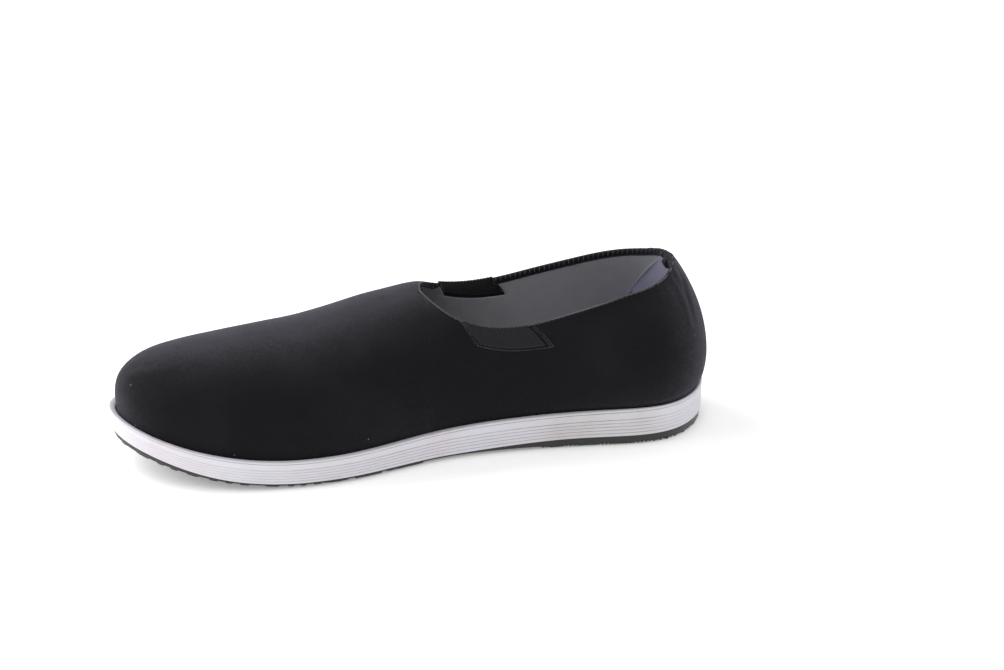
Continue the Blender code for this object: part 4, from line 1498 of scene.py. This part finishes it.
@dataclass
class Insole:
    """Cloth-covered board in the cup."""

    sole: SoleForm
    finishes: Finishes
    columns: int = 120
    edge_gap: float = 0.0006
    wall: float = 0.0020
    thickness: float = 0.0030
    seat: float = 0.0007

    def level(self, y: np.ndarray) -> np.ndarray:
        """Height of the floor of the cup."""
        return self.sole.band_top(y) - self.sole.lip_height + self.sole.gap

    def build(self) -> None:
        """Build the board with a rounded edge and a shallow seat at the heel."""
        ring = self.sole.outline(self.columns)
        edge = -self.sole.lip(ring[:, 1]) - self.sole.gap - self.wall - self.edge_gap
        rings = []
        low = ((0.0004, 0.0), (0.0, 0.0006), (0.0, 0.0022))
        high = ((0.0003, 0.0027), (0.0010, 0.0030), (0.0030, 0.0030))
        for inset, lift in low + high:
            line = self.sole.band_ring(ring, edge - inset)
            rings.append(np.column_stack([line, self.level(line[:, 1]) + lift]))
        cut = Cut()
        self.cover(cut, np.stack(rings, axis=1), closed=True)
        self.cover(cut, self.board(rings[-1]), closed=False)
        cut.lid(rings[0])
        made = cut.piece("insole_board", self.finishes.lining, Slot.LINING, crease=60.0)
        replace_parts(made, "insole")

    def board(self, top: np.ndarray) -> np.ndarray:
        """Grid of the upper face inside its edge, sunk a little under the heel and the ball."""
        half = self.columns
        left, right = top[: half + 1], np.vstack([top[half:], top[:1]])[::-1]
        across = np.linspace(0.0, 1.0, 25)[None, :, None]
        board = left[:, None, :] * (1.0 - across) + right[:, None, :] * across
        low, high = board[..., 0].min(axis=1), board[..., 0].max(axis=1)
        middle = (low + high) / 2.0
        wide = np.maximum((high - low) / 2.0, 1e-4)
        off = (board[..., 0] - middle[:, None]) / wide[:, None]
        y = board[..., 1]
        under = ease(y, 0.030, 0.090) + (1.0 - ease(y, -0.060, -0.010))
        seat = self.seat * np.clip(1.0 - off**2, 0.0, 1.0) * under
        seat = seat * ease(y, -0.136, -0.110) * (1.0 - ease(y, 0.118, 0.136))
        board[..., 2] = self.level(y) + self.thickness - seat
        return board

    def cover(self, cut: Cut, grid: np.ndarray, closed: bool) -> None:
        """Add a sheet of the board, with the marks that its cloth needs."""
        marks = {"cloth": grid[..., [1, 0, 2]].copy(), "heel_piece": np.zeros(grid.shape[:2])}
        cut.grid(grid, closed=closed, marks=marks)


@dataclass(frozen=True)
class Zigzag:
    """A line folded across the foot, like the edges of the bars of the tread."""

    top: float
    fold: float
    wave: float
    peak: float

    def phase(self, x: np.ndarray) -> np.ndarray:
        """Place in the fold at places across the foot, 0 to 1 falling from a peak and 1 to 2 rising."""
        return np.mod((np.asarray(x) - self.peak) / (self.fold / 2.0), 2.0)

    def at(self, x: np.ndarray) -> np.ndarray:
        """Station along the foot at places across it."""
        return self.top - self.wave * (1.0 - np.abs(self.phase(x) - 1.0))


@dataclass
class Tread:
    """Black rubber tread: plate, zigzag bars with fine studs, crosshatched heel, waist and toe."""

    sole: SoleForm
    finishes: Finishes
    heel_fold: float = 0.0270
    heel_wave: float = 0.0070
    heel_bar: float = 0.0100
    heel_tops: tuple[float, ...] = (0.1045, 0.0880, 0.0717)
    heel_peaks: tuple[float, ...] = (-0.0039, -0.0045, -0.0052)
    heel_patch: float = 0.1075
    heel_breast: float = 0.0580
    fore_fold: float = 0.0275
    fore_wave: float = 0.0078
    fore_bar: float = 0.0112
    fore_pitch: float = 0.0182
    fore_first: float = -0.0035
    fore_bars: int = 5
    fore_peak: float = -0.0188
    fore_drift: float = 0.0010
    stud: float = 0.00045
    columns: int = 700
    edge: float = 0.0009
    block_pitch: float = 0.0085
    tooth_pitch: float = 0.0019
    toe_flare: float = 0.0007
    toe_lift: float = 0.0013
    least_margin: float = 0.0008
    toe_margin: float = 0.0052
    toe_rim: float = 0.0020
    across: float = 0.075
    root: float = 0.0002
    draft: float = 0.00022
    end_draft: float = 0.00010
    sunk: float = 0.00005
    pad_rise: float = 0.00075
    pit_depth: float = 0.00075
    front_cell: tuple[float, float] = (0.0042, 0.0026)
    back_cell: tuple[float, float] = (0.0050, 0.0031)
    thin_line: tuple[float, float] = (0.0007, 0.00045)
    waist_rib: tuple[float, float] = (0.0011, 0.00042)
    waist_pitch: float = 0.00178
    outline: tuple[float, float] = (0.0012, 0.00070)
    oval: tuple[float, float] = (-0.0080, 0.0255)
    ring: tuple[float, float] = (0.0229, 0.0081)
    stud_half: tuple[float, float] = (0.00088, 0.00060)
    stud_rows: float = 0.00188
    stud_rim: float = 0.0007
    plug: tuple[float, float] = (-0.0056, 0.0830)
    plug_clear: float = 0.0040

    def __post_init__(self) -> None:
        """Lay out the limits of the tread across the foot."""
        ring = self.sole.grown(self.sole.outline(400), self.edge)
        half = len(ring) // 2
        self.medial = ring[: half + 1]
        self.lateral = np.vstack([ring[half:], ring[:1]])[::-1]

    def limits(self, y: np.ndarray) -> tuple[np.ndarray, np.ndarray]:
        """Lateral and medial edges of the tread at stations along its length."""
        lateral = np.interp(y, self.lateral[:, 1], self.lateral[:, 0])
        medial = np.interp(y, self.medial[:, 1], self.medial[:, 0])
        return lateral, medial

    def margin(self, y: np.ndarray) -> np.ndarray:
        """Smooth strip left along the medial edge of the forefoot."""
        return self.least_margin + self.toe_margin * (1.0 - ease(y, -0.075, -0.045))

    def inside(self, x: np.ndarray, y: np.ndarray, inset: float) -> np.ndarray:
        """Whether places lie inside the tread's patterned field."""
        lateral, medial = self.limits(y)
        ends = (y > self.sole.toe_end[1] + self.toe_rim + inset) & (y < self.sole.heel_end[1] - inset)
        return (x > lateral + inset) & (x < medial - inset - self.margin(y) + self.least_margin) & ends

    def floor_level(self, y: np.ndarray) -> np.ndarray:
        """Height of the faces that the shoe stands on."""
        return self.sole.spring(y) + self.sole.arch(y)

    def plate_level(self, y: np.ndarray) -> np.ndarray:
        """Height of the plate between the bars."""
        return self.sole.spring(y) + self.sole.lug_depth

    def build(self) -> None:
        """Build every part of the tread."""
        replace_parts(self.plate(), "outsole")
        bars, studs, lines = Cut(), Cut(), Cut()
        for k in range(len(self.heel_tops)):
            line = self.heel_line(k)
            last = k == len(self.heel_tops) - 1
            self.bar(bars, line, self.heel_bar, self.heel_breast if last else None)
            self.rims(lines, line, self.heel_bar, not last)
            if last:
                self.diamonds(studs, self.front_cell, self.front_patch)
            else:
                self.studs(studs, line, self.heel_bar)
        for k in range(self.fore_bars):
            line = self.fore_line(k)
            self.bar(bars, line, self.fore_bar, None)
            self.rims(lines, line, self.fore_bar, True)
            self.studs(studs, line, self.fore_bar)
            self.groove_lines(lines, k)
        self.bar(bars, self.fore_line(self.fore_bars), 0.0, self.sole.toe_end[1] + 0.0022)
        self.rims(lines, self.fore_line(self.fore_bars), 0.0, False)
        self.toe_studs(studs)
        self.heel_pad(bars)
        self.diamonds(studs, self.back_cell, self.back_patch)
        self.waist(lines)
        bars.piece("tread_bars", self.finishes.black_rubber, Slot.TREAD, crease=30.0)
        studs.piece("tread_studs", self.finishes.black_rubber, Slot.TREAD, crease=20.0)
        lines.piece("tread_raised_lines", self.finishes.black_rubber, Slot.TREAD, crease=20.0, weld=False)

    def heel_line(self, k: int) -> Zigzag:
        """Folded line at the back edge of a bar of the heel."""
        return Zigzag(self.heel_tops[k], self.heel_fold, self.heel_wave, self.heel_peaks[k])

    def fore_line(self, k: int) -> Zigzag:
        """Folded line at the back edge of a bar of the forefoot."""
        top = self.fore_first - k * self.fore_pitch
        return Zigzag(top, self.fore_fold, self.fore_wave, self.fore_peak + k * self.fore_drift)

    def front_patch(self, x: float, y: float) -> bool:
        """Whether a place is on the crosshatched patch at the front of the heel."""
        return self.heel_breast < y < float(self.heel_line(len(self.heel_tops) - 1).at(x)) - 0.0010

    def back_patch(self, x: float, y: float) -> bool:
        """Whether a place is on the crosshatched patch at the back of the heel."""
        return y > self.heel_patch

    def plate(self) -> bpy.types.Object:
        """Plate of the tread, with blocks hanging from its edge at the forefoot and teeth at the heel."""
        ring = self.sole.outline(self.columns)
        y = ring[:, 1]
        run = np.concatenate([[0.0], np.cumsum(np.linalg.norm(np.diff(ring, axis=0), axis=1))])
        drift = 1.4 * np.sin(run * 2.0 * math.pi / 0.031) + 0.9 * np.sin(run * 2.0 * math.pi / 0.0475)
        blunt = np.tanh(3.0 * np.sin(run * 2.0 * math.pi / self.block_pitch + drift)) * 0.5 + 0.5
        teeth = np.abs(np.mod(run / self.tooth_pitch, 1.0) * 2.0 - 1.0)
        heel = ease(y, 0.040, 0.075)
        waist = ease(y, -0.006, 0.004) * (1.0 - ease(y, 0.044, 0.056))
        hang = (0.00068 * blunt * (1.0 - heel) + (0.00025 + 0.00100 * teeth) * heel) * (1.0 - waist)
        toe = ease(-y, 0.090, 0.135)
        under = ((-0.0012, 0.0), (0.0002, 0.0), (0.0006, 1.0), (0.0010, 0.9), (0.00125, 0.0))
        rings = []
        for out, drop in under:
            line = self.sole.grown(ring, out + self.toe_flare * toe)
            rings.append(np.column_stack([line, self.plate_level(line[:, 1]) - hang * drop]))
        for out in (0.0013, 0.0002):
            line = self.sole.grown(ring, out + self.toe_flare * toe)
            rings.append(np.column_stack([line, self.sole.tread_edge(line[:, 1]) + self.toe_lift * toe]))
        cut = Cut()
        cut.grid(np.stack(rings, axis=1), closed=True)
        cut.lid(rings[0])
        cut.lid(rings[-1])
        return cut.piece("tread_plate", self.finishes.black_rubber, Slot.TREAD, crease=35.0)

    def bar(self, cut: Cut, line: Zigzag, thick: float, floor: float | None) -> None:
        """Add one bar, or a patch down to a straight or far edge, with sloping sides.

        Args:
            cut: The piece that takes it.
            line: Its heel-side edge.
            thick: Length along the foot, where it follows the fold.
            floor: Station of its other edge where that doesn't follow the fold.
        """
        low = math.floor((-self.across - line.peak) / (line.fold / 2.0))
        stations = line.peak + np.arange(low, low + 14, 1.0 / 6.0) * line.fold / 2.0
        dense = np.linspace(-self.across, self.across, 1201)
        rows = []
        for share in np.linspace(0.0, 1.0, 3 if floor is None else 12):
            inside = self.inside(dense, self.row(dense, line, thick, floor, share), 0.0002)
            if not inside.any():
                continue
            x = np.clip(stations, dense[inside][0], dense[inside][-1])
            rows.append(np.column_stack([x, self.row(x, line, thick, floor, share)]))
        flat = np.stack(rows, axis=0)
        face = self.floor_level(flat[..., 1]) + self.stud
        block = np.concatenate([flat, face[..., None]], axis=2)
        slope = (0.0, self.draft, 0.0)
        block = np.concatenate([block[:1] + slope, block, block[-1:] - slope], axis=0)
        for end in (0, -1):
            block[end, :, 2] = self.plate_level(flat[end, :, 1]) + self.root
        ends = [block[:, :1].copy(), block[:, -1:].copy()]
        for end, turn in zip(ends, (-1.0, 1.0)):
            end[..., 0] += turn * self.end_draft
            end[..., 2] = self.plate_level(end[..., 1]) + self.root
        cut.grid(np.concatenate([ends[0], block, ends[1]], axis=1))

    def row(self, x: np.ndarray, line: Zigzag, thick: float, floor: float | None, share: float) -> np.ndarray:
        """Stations along the foot of a row of a bar, at a share of the way from its heel-side edge."""
        edge = line.at(x)
        far = edge - thick if floor is None else np.full_like(edge, floor)
        return edge + (far - edge) * share

    def rims(self, cut: Cut, line: Zigzag, thick: float, both: bool) -> None:
        """Add the thin raised lines along the edges of a bar."""
        x = np.linspace(-self.across, self.across, 301)
        folds = line.peak + np.arange(-8, 9) * line.fold / 2.0
        places = np.unique(np.concatenate([x, folds]))
        edges = [(0.0004, False)] + ([(thick - 0.0004, True)] if both else [])
        for drop, whole in edges:
            y = line.at(places) - drop
            falls = line.phase(places) <= 1.0 + 1e-6
            wanted = self.inside(places, y, 0.0009) & (whole | falls | (thick == 0.0))
            flat = np.column_stack([places, y])
            self.runs(cut, flat, wanted, self.thin_line, self.floor_level(y) + self.stud)

    def runs(
        self,
        cut: Cut,
        flat: np.ndarray,
        wanted: np.ndarray,
        size: tuple[float, float],
        level: np.ndarray | None = None,
    ) -> None:
        """Add raised lines along the wanted stretches of a line.

        Args:
            cut: The piece that takes them.
            flat: Points of the line in X and Y.
            wanted: Which points to keep.
            size: Width and height of the line.
            level: Height of the surface under it, the plate's where none is given.
        """
        width, height = size
        if level is None:
            level = self.plate_level(flat[:, 1])
        index = np.flatnonzero(wanted)
        for run in np.split(index, np.flatnonzero(np.diff(index) > 1) + 1):
            if len(run) > 2:
                cut.ridge(np.column_stack([flat[run], level[run] + self.sunk]), width, height + self.sunk)

    def studs(self, cut: Cut, line: Zigzag, thick: float) -> None:
        """Add rows of small roof-shaped studs on a bar, parallel to its rising arm."""
        rise = np.array([line.fold / 2.0, line.wave])
        length = float(np.linalg.norm(rise))
        along = rise / length
        aside = np.array([-along[1], along[0]])
        pitch = length / 7.0
        half, wide = self.stud_half
        count = int(round(thick / self.stud_rows))
        for row in range(count):
            drop = (row + 0.5) * thick / count
            if thick - drop < self.stud_rim:
                continue
            for k in range(-60, 61):
                x = line.peak + along[0] * ((k + (0.5 if row % 2 else 0.0)) * pitch)
                edge = float(line.at(x))
                y = edge - drop
                near_plug = math.hypot(x - self.plug[0], y - self.plug[1]) < self.plug_clear
                if self.inside(x, y, 0.0012) and edge - y >= self.stud_rim and not near_plug:
                    self.roof(cut, np.array([x, y]), along * half, aside * wide)

    def roof(self, cut: Cut, centre: np.ndarray, along: np.ndarray, aside: np.ndarray) -> None:
        """Add one stud with a short ridge."""
        level = float(self.floor_level(centre[1]))
        foot = level + self.stud + self.sunk
        signs = ((-1.0, -1.0), (1.0, -1.0), (1.0, 1.0), (-1.0, 1.0))
        corners = [centre + along * a + aside * b for a, b in signs]
        ridge = [centre - along * 0.55 + aside * 0.15, centre + along * 0.55 + aside * 0.15]
        points = np.array([(*corner, foot) for corner in corners] + [(*spot, level) for spot in ridge])
        cut.add(points, [(0, 1, 5, 4), (2, 3, 4, 5), (1, 2, 5), (3, 0, 4)])

    def toe_studs(self, cut: Cut) -> None:
        """Add pyramids on the toe patch, finer towards the tip."""
        line = self.fore_line(self.fore_bars)
        for row in range(16):
            fine = row > 9
            pitch = 0.0024 if fine else 0.0031
            half = 0.0007 if fine else 0.0011
            start = line.top - 0.0030 - row * 0.0027
            for k in range(-30, 31):
                x = k * pitch + (pitch / 2.0 if row % 2 else 0.0)
                y = start + x * 0.12
                if self.inside(x, y, 0.0022) and y <= float(line.at(x)) - 0.0019:
                    self.pyramid(cut, x, y, half)

    def pyramid(self, cut: Cut, x: float, y: float, half: float) -> None:
        """Add one pyramid with its tip a little towards the heel."""
        level = float(self.floor_level(y))
        foot = level + self.stud + self.sunk
        back = half * 0.9
        flat = [(x - half, y - half), (x + half, y - half), (x + back, y + half), (x - back, y + half)]
        points = np.array([(*spot, foot) for spot in flat] + [(x, y + half * 0.35, level)])
        cut.add(points, [(0, 1, 4), (1, 2, 4), (2, 3, 4), (3, 0, 4)])

    def heel_pad(self, cut: Cut) -> None:
        """Add the low pad under the crosshatch of the heel."""
        rows = []
        for y in np.linspace(self.heel_patch, self.sole.heel_end[1] - 0.0006, 14):
            lateral, medial = self.limits(y)
            x = np.linspace(lateral + 0.0004, medial - 0.0004, 24)
            height = float(self.floor_level(y)) + self.pad_rise
            rows.append(np.column_stack([x, np.full_like(x, y), np.full_like(x, height)]))
        block = np.stack(rows, axis=0)
        head, tail = block[:1].copy(), block[-1:].copy()
        head[..., 2] = tail[..., 2] = self.sole.lug_depth + self.root
        cut.grid(np.concatenate([head, block, tail], axis=0))

    def diamonds(self, cut: Cut, cell: tuple[float, float], wanted: Callable[[float, float], bool]) -> None:
        """Add a crosshatch of raised edges round sunk diamonds.

        Args:
            cut: The piece that takes it.
            cell: Width and length of a diamond.
            wanted: Which places to cover.
        """
        wide, long = cell
        tips = np.array([(wide / 2.0, 0.0), (0.0, long / 2.0), (-wide / 2.0, 0.0), (0.0, -long / 2.0)])
        faces = [(8, 9, 10, 11)]
        for a in range(4):
            b = (a + 1) % 4
            faces += [(a, b, 4 + b, 4 + a), (4 + a, 4 + b, 8 + b, 8 + a)]
        for i in range(-16, 17):
            for j in range(-60, 61):
                x = (i + (0.5 if j % 2 else 0.0)) * wide
                y = 0.100 + j * long / 2.0
                if not (self.inside(x, y, 0.0010) and wanted(x, y)):
                    continue
                outer = np.array([x, y]) + tips
                lateral, medial = self.limits(outer[:, 1])
                outer[:, 0] = np.clip(outer[:, 0], lateral + 0.0001, medial - 0.0001)
                inner = np.array([x, y]) + tips * 0.72
                pit = np.array([x, y]) + tips * 0.25
                level = float(self.floor_level(y))
                heights = [level] * 4 + [level + 0.0001] * 4 + [level + self.pit_depth] * 4
                cut.add(np.column_stack([np.vstack([outer, inner, pit]), heights]), faces)

    def groove_lines(self, cut: Cut, k: int) -> None:
        """Add the thin lines in a groove that join the folds of two bars."""
        line, after = self.fore_line(k), self.fore_line(k + 1)
        for n in range(-6, 7):
            drop = after.wave if n % 2 else 0.0
            start = np.array([line.peak + n * line.fold / 2.0, line.top - drop - self.fore_bar - 0.0003])
            end = np.array([after.peak + n * line.fold / 2.0, after.top - drop + 0.0003])
            flat = start + (end - start) * np.linspace(0.0, 1.0, 7)[:, None]
            self.runs(cut, flat, self.inside(flat[:, 0], flat[:, 1], 0.0012), self.thin_line)

    def waist(self, cut: Cut) -> None:
        """Add the herringbone ribs of the waist with a bare oval and a bare ring."""
        bands = ((0.0475, 0.0333, -55.0), (0.0327, 0.0176, 41.0), (0.0170, 0.0022, -55.0))
        for high, low, degrees in bands:
            angle = math.radians(degrees)
            along = np.array([math.cos(angle), math.sin(angle)])
            step = self.waist_pitch / abs(math.sin(angle))
            reach = (high - low) / abs(math.sin(angle))
            for n in range(-60, 61):
                start = np.array([n * step, low if along[1] > 0 else high])
                flat = start + along * np.linspace(0.0, reach, 16)[:, None]
                self.runs(cut, flat, self.open_waist(flat), self.waist_rib)
        for high, low in ((0.0512, 0.0484), (0.0014, -0.0012)):
            for n in range(-45, 46):
                x = n * 0.00125
                flat = np.column_stack([np.linspace(x, x + 0.0006, 4), np.linspace(high, low, 4)])
                self.runs(cut, flat, self.inside(flat[:, 0], flat[:, 1], 0.0010), self.thin_line)
        turn = np.linspace(0.0, 2.0 * math.pi, 73)
        for centre, half in ((self.oval, (0.0178, 0.0062)), (self.ring, (0.0070, 0.0070))):
            flat = np.column_stack([centre[0] + half[0] * np.cos(turn), centre[1] + half[1] * np.sin(turn)])
            self.runs(cut, flat, np.ones(len(flat), dtype=bool), self.outline)

    def open_waist(self, flat: np.ndarray) -> np.ndarray:
        """Whether places of the waist carry ribs, outside the oval and the ring."""
        x, y = flat[:, 0], flat[:, 1]
        oval = ((x - self.oval[0]) / 0.0190) ** 2 + ((y - self.oval[1]) / 0.0074) ** 2 > 1.0
        ring = np.hypot(x - self.ring[0], y - self.ring[1]) > 0.0078
        return self.inside(x, y, 0.0010) & oval & ring


def pose(right: np.ndarray, up: np.ndarray, back: np.ndarray, place: np.ndarray) -> Matrix:
    """Matrix of an object with these axes at this place."""
    matrix = Matrix.Identity(4)
    for k, column in enumerate((right, up, back, place)):
        for row in range(3):
            matrix[row][k] = float(column[row])
    return matrix


@dataclass(frozen=True)
class Softbox:
    """A square soft light that faces the shoe."""

    name: str
    place: Point
    size: float
    power: float
    aim: Point = (0.0, 0.0, 0.03)

    def hang(self) -> None:
        """Hang the light at its place."""
        data = bpy.data.lights.new(self.name, "AREA")
        data.shape = "SQUARE"
        data.size = self.size
        data.energy = self.power
        made = bpy.data.objects.new(self.name, data)
        back = unit(np.array(self.place) - np.array(self.aim))
        right = unit(np.cross([0.0, 1.0, 0.001], back))
        made.matrix_world = pose(right, np.cross(back, right), back, self.place)
        bpy.context.scene.collection.objects.link(made)


@dataclass(frozen=True)
class Photographer:
    """Camera at the photo's place, floor and soft light."""

    azimuth: float = 74.3
    elevation: float = 23.6
    distance: float = 1.646
    right: float = 0.04202
    up: float = 0.0460
    roll: float = 1.16
    focal_pixels: float = 3468.0
    frame_pixels: int = 1004
    sensor: float = 36.0
    near: float = 0.05
    far: float = 30.0
    reach: float = 6.0
    floor_level: float = -0.0001
    room: float = 0.90
    lamps: tuple[Softbox, ...] = (
        Softbox("overhead_softbox", (-1.1, -1.1, 1.3), 1.3, 27.0),
        Softbox("toe_side", (-0.2, -1.8, 0.8), 1.0, 15.0),
    )

    def camera(self) -> None:
        """Place the camera."""
        a, e, roll = (math.radians(value) for value in (self.azimuth, self.elevation, self.roll))
        back = np.array([math.sin(a) * math.cos(e), -math.cos(a) * math.cos(e), math.sin(e)])
        right = unit(np.cross(-back, [0.0, 0.0, 1.0]))
        up = np.cross(right, -back)
        place = back * self.distance + right * self.right + up * self.up + np.array([*SoleForm().shift, 0.0])
        turned = right * math.cos(roll) + up * math.sin(roll)
        above = -right * math.sin(roll) + up * math.cos(roll)
        data = bpy.data.cameras.new("photo_camera")
        data.sensor_width = self.sensor
        data.lens = self.focal_pixels / self.frame_pixels * self.sensor
        data.clip_start = self.near
        data.clip_end = self.far
        made = bpy.data.objects.new("photo_camera", data)
        made.matrix_world = pose(turned, above, back, place)
        bpy.context.scene.collection.objects.link(made)
        bpy.context.scene.camera = made

    def floor(self, finish: bpy.types.Material) -> None:
        """Lay the floor."""
        mesh = bpy.data.meshes.new("studio_floor")
        signs = ((-1.0, -1.0), (1.0, -1.0), (1.0, 1.0), (-1.0, 1.0))
        corners = [(x * self.reach, y * self.reach, self.floor_level) for x, y in signs]
        mesh.from_pydata(corners, [], [(0, 1, 2, 3)])
        mesh.materials.append(finish)
        made = bpy.data.objects.new("studio_floor", mesh)
        bpy.context.scene.collection.objects.link(made)

    def world(self) -> None:
        """Light the room evenly in white."""
        made = bpy.data.worlds.new("white_room")
        made.use_nodes = True
        ground = made.node_tree.nodes["Background"]
        ground.inputs["Color"].default_value = (1.0, 1.0, 1.0, 1.0)
        ground.inputs["Strength"].default_value = self.room
        bpy.context.scene.world = made

    def set_up(self, finishes: Finishes) -> None:
        """Set up the whole studio."""
        self.camera()
        self.floor(finishes.floor)
        self.world()
        for lamp in self.lamps:
            lamp.hang()
        bpy.context.scene.view_settings.view_transform = "Standard"


def main() -> None:
    """Build the shoe's pieces in order, then the studio."""
    logging.basicConfig(level=logging.INFO, format="%(name)s: %(message)s")
    sole = SoleForm()
    last = Last(sole)
    finishes = Finishes()
    Tread(sole, finishes).build()
    FoxingBand(sole, finishes).build()
    Insole(sole, finishes).build()
    upper = Upper(last, finishes)
    upper.build()
    Collar(upper).build()
    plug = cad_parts["sole_plug"]
    plug.data.materials.clear()
    plug.data.materials.append(finishes.white_rubber)
    Photographer().set_up(finishes)


if __name__ == "__main__":
    main()
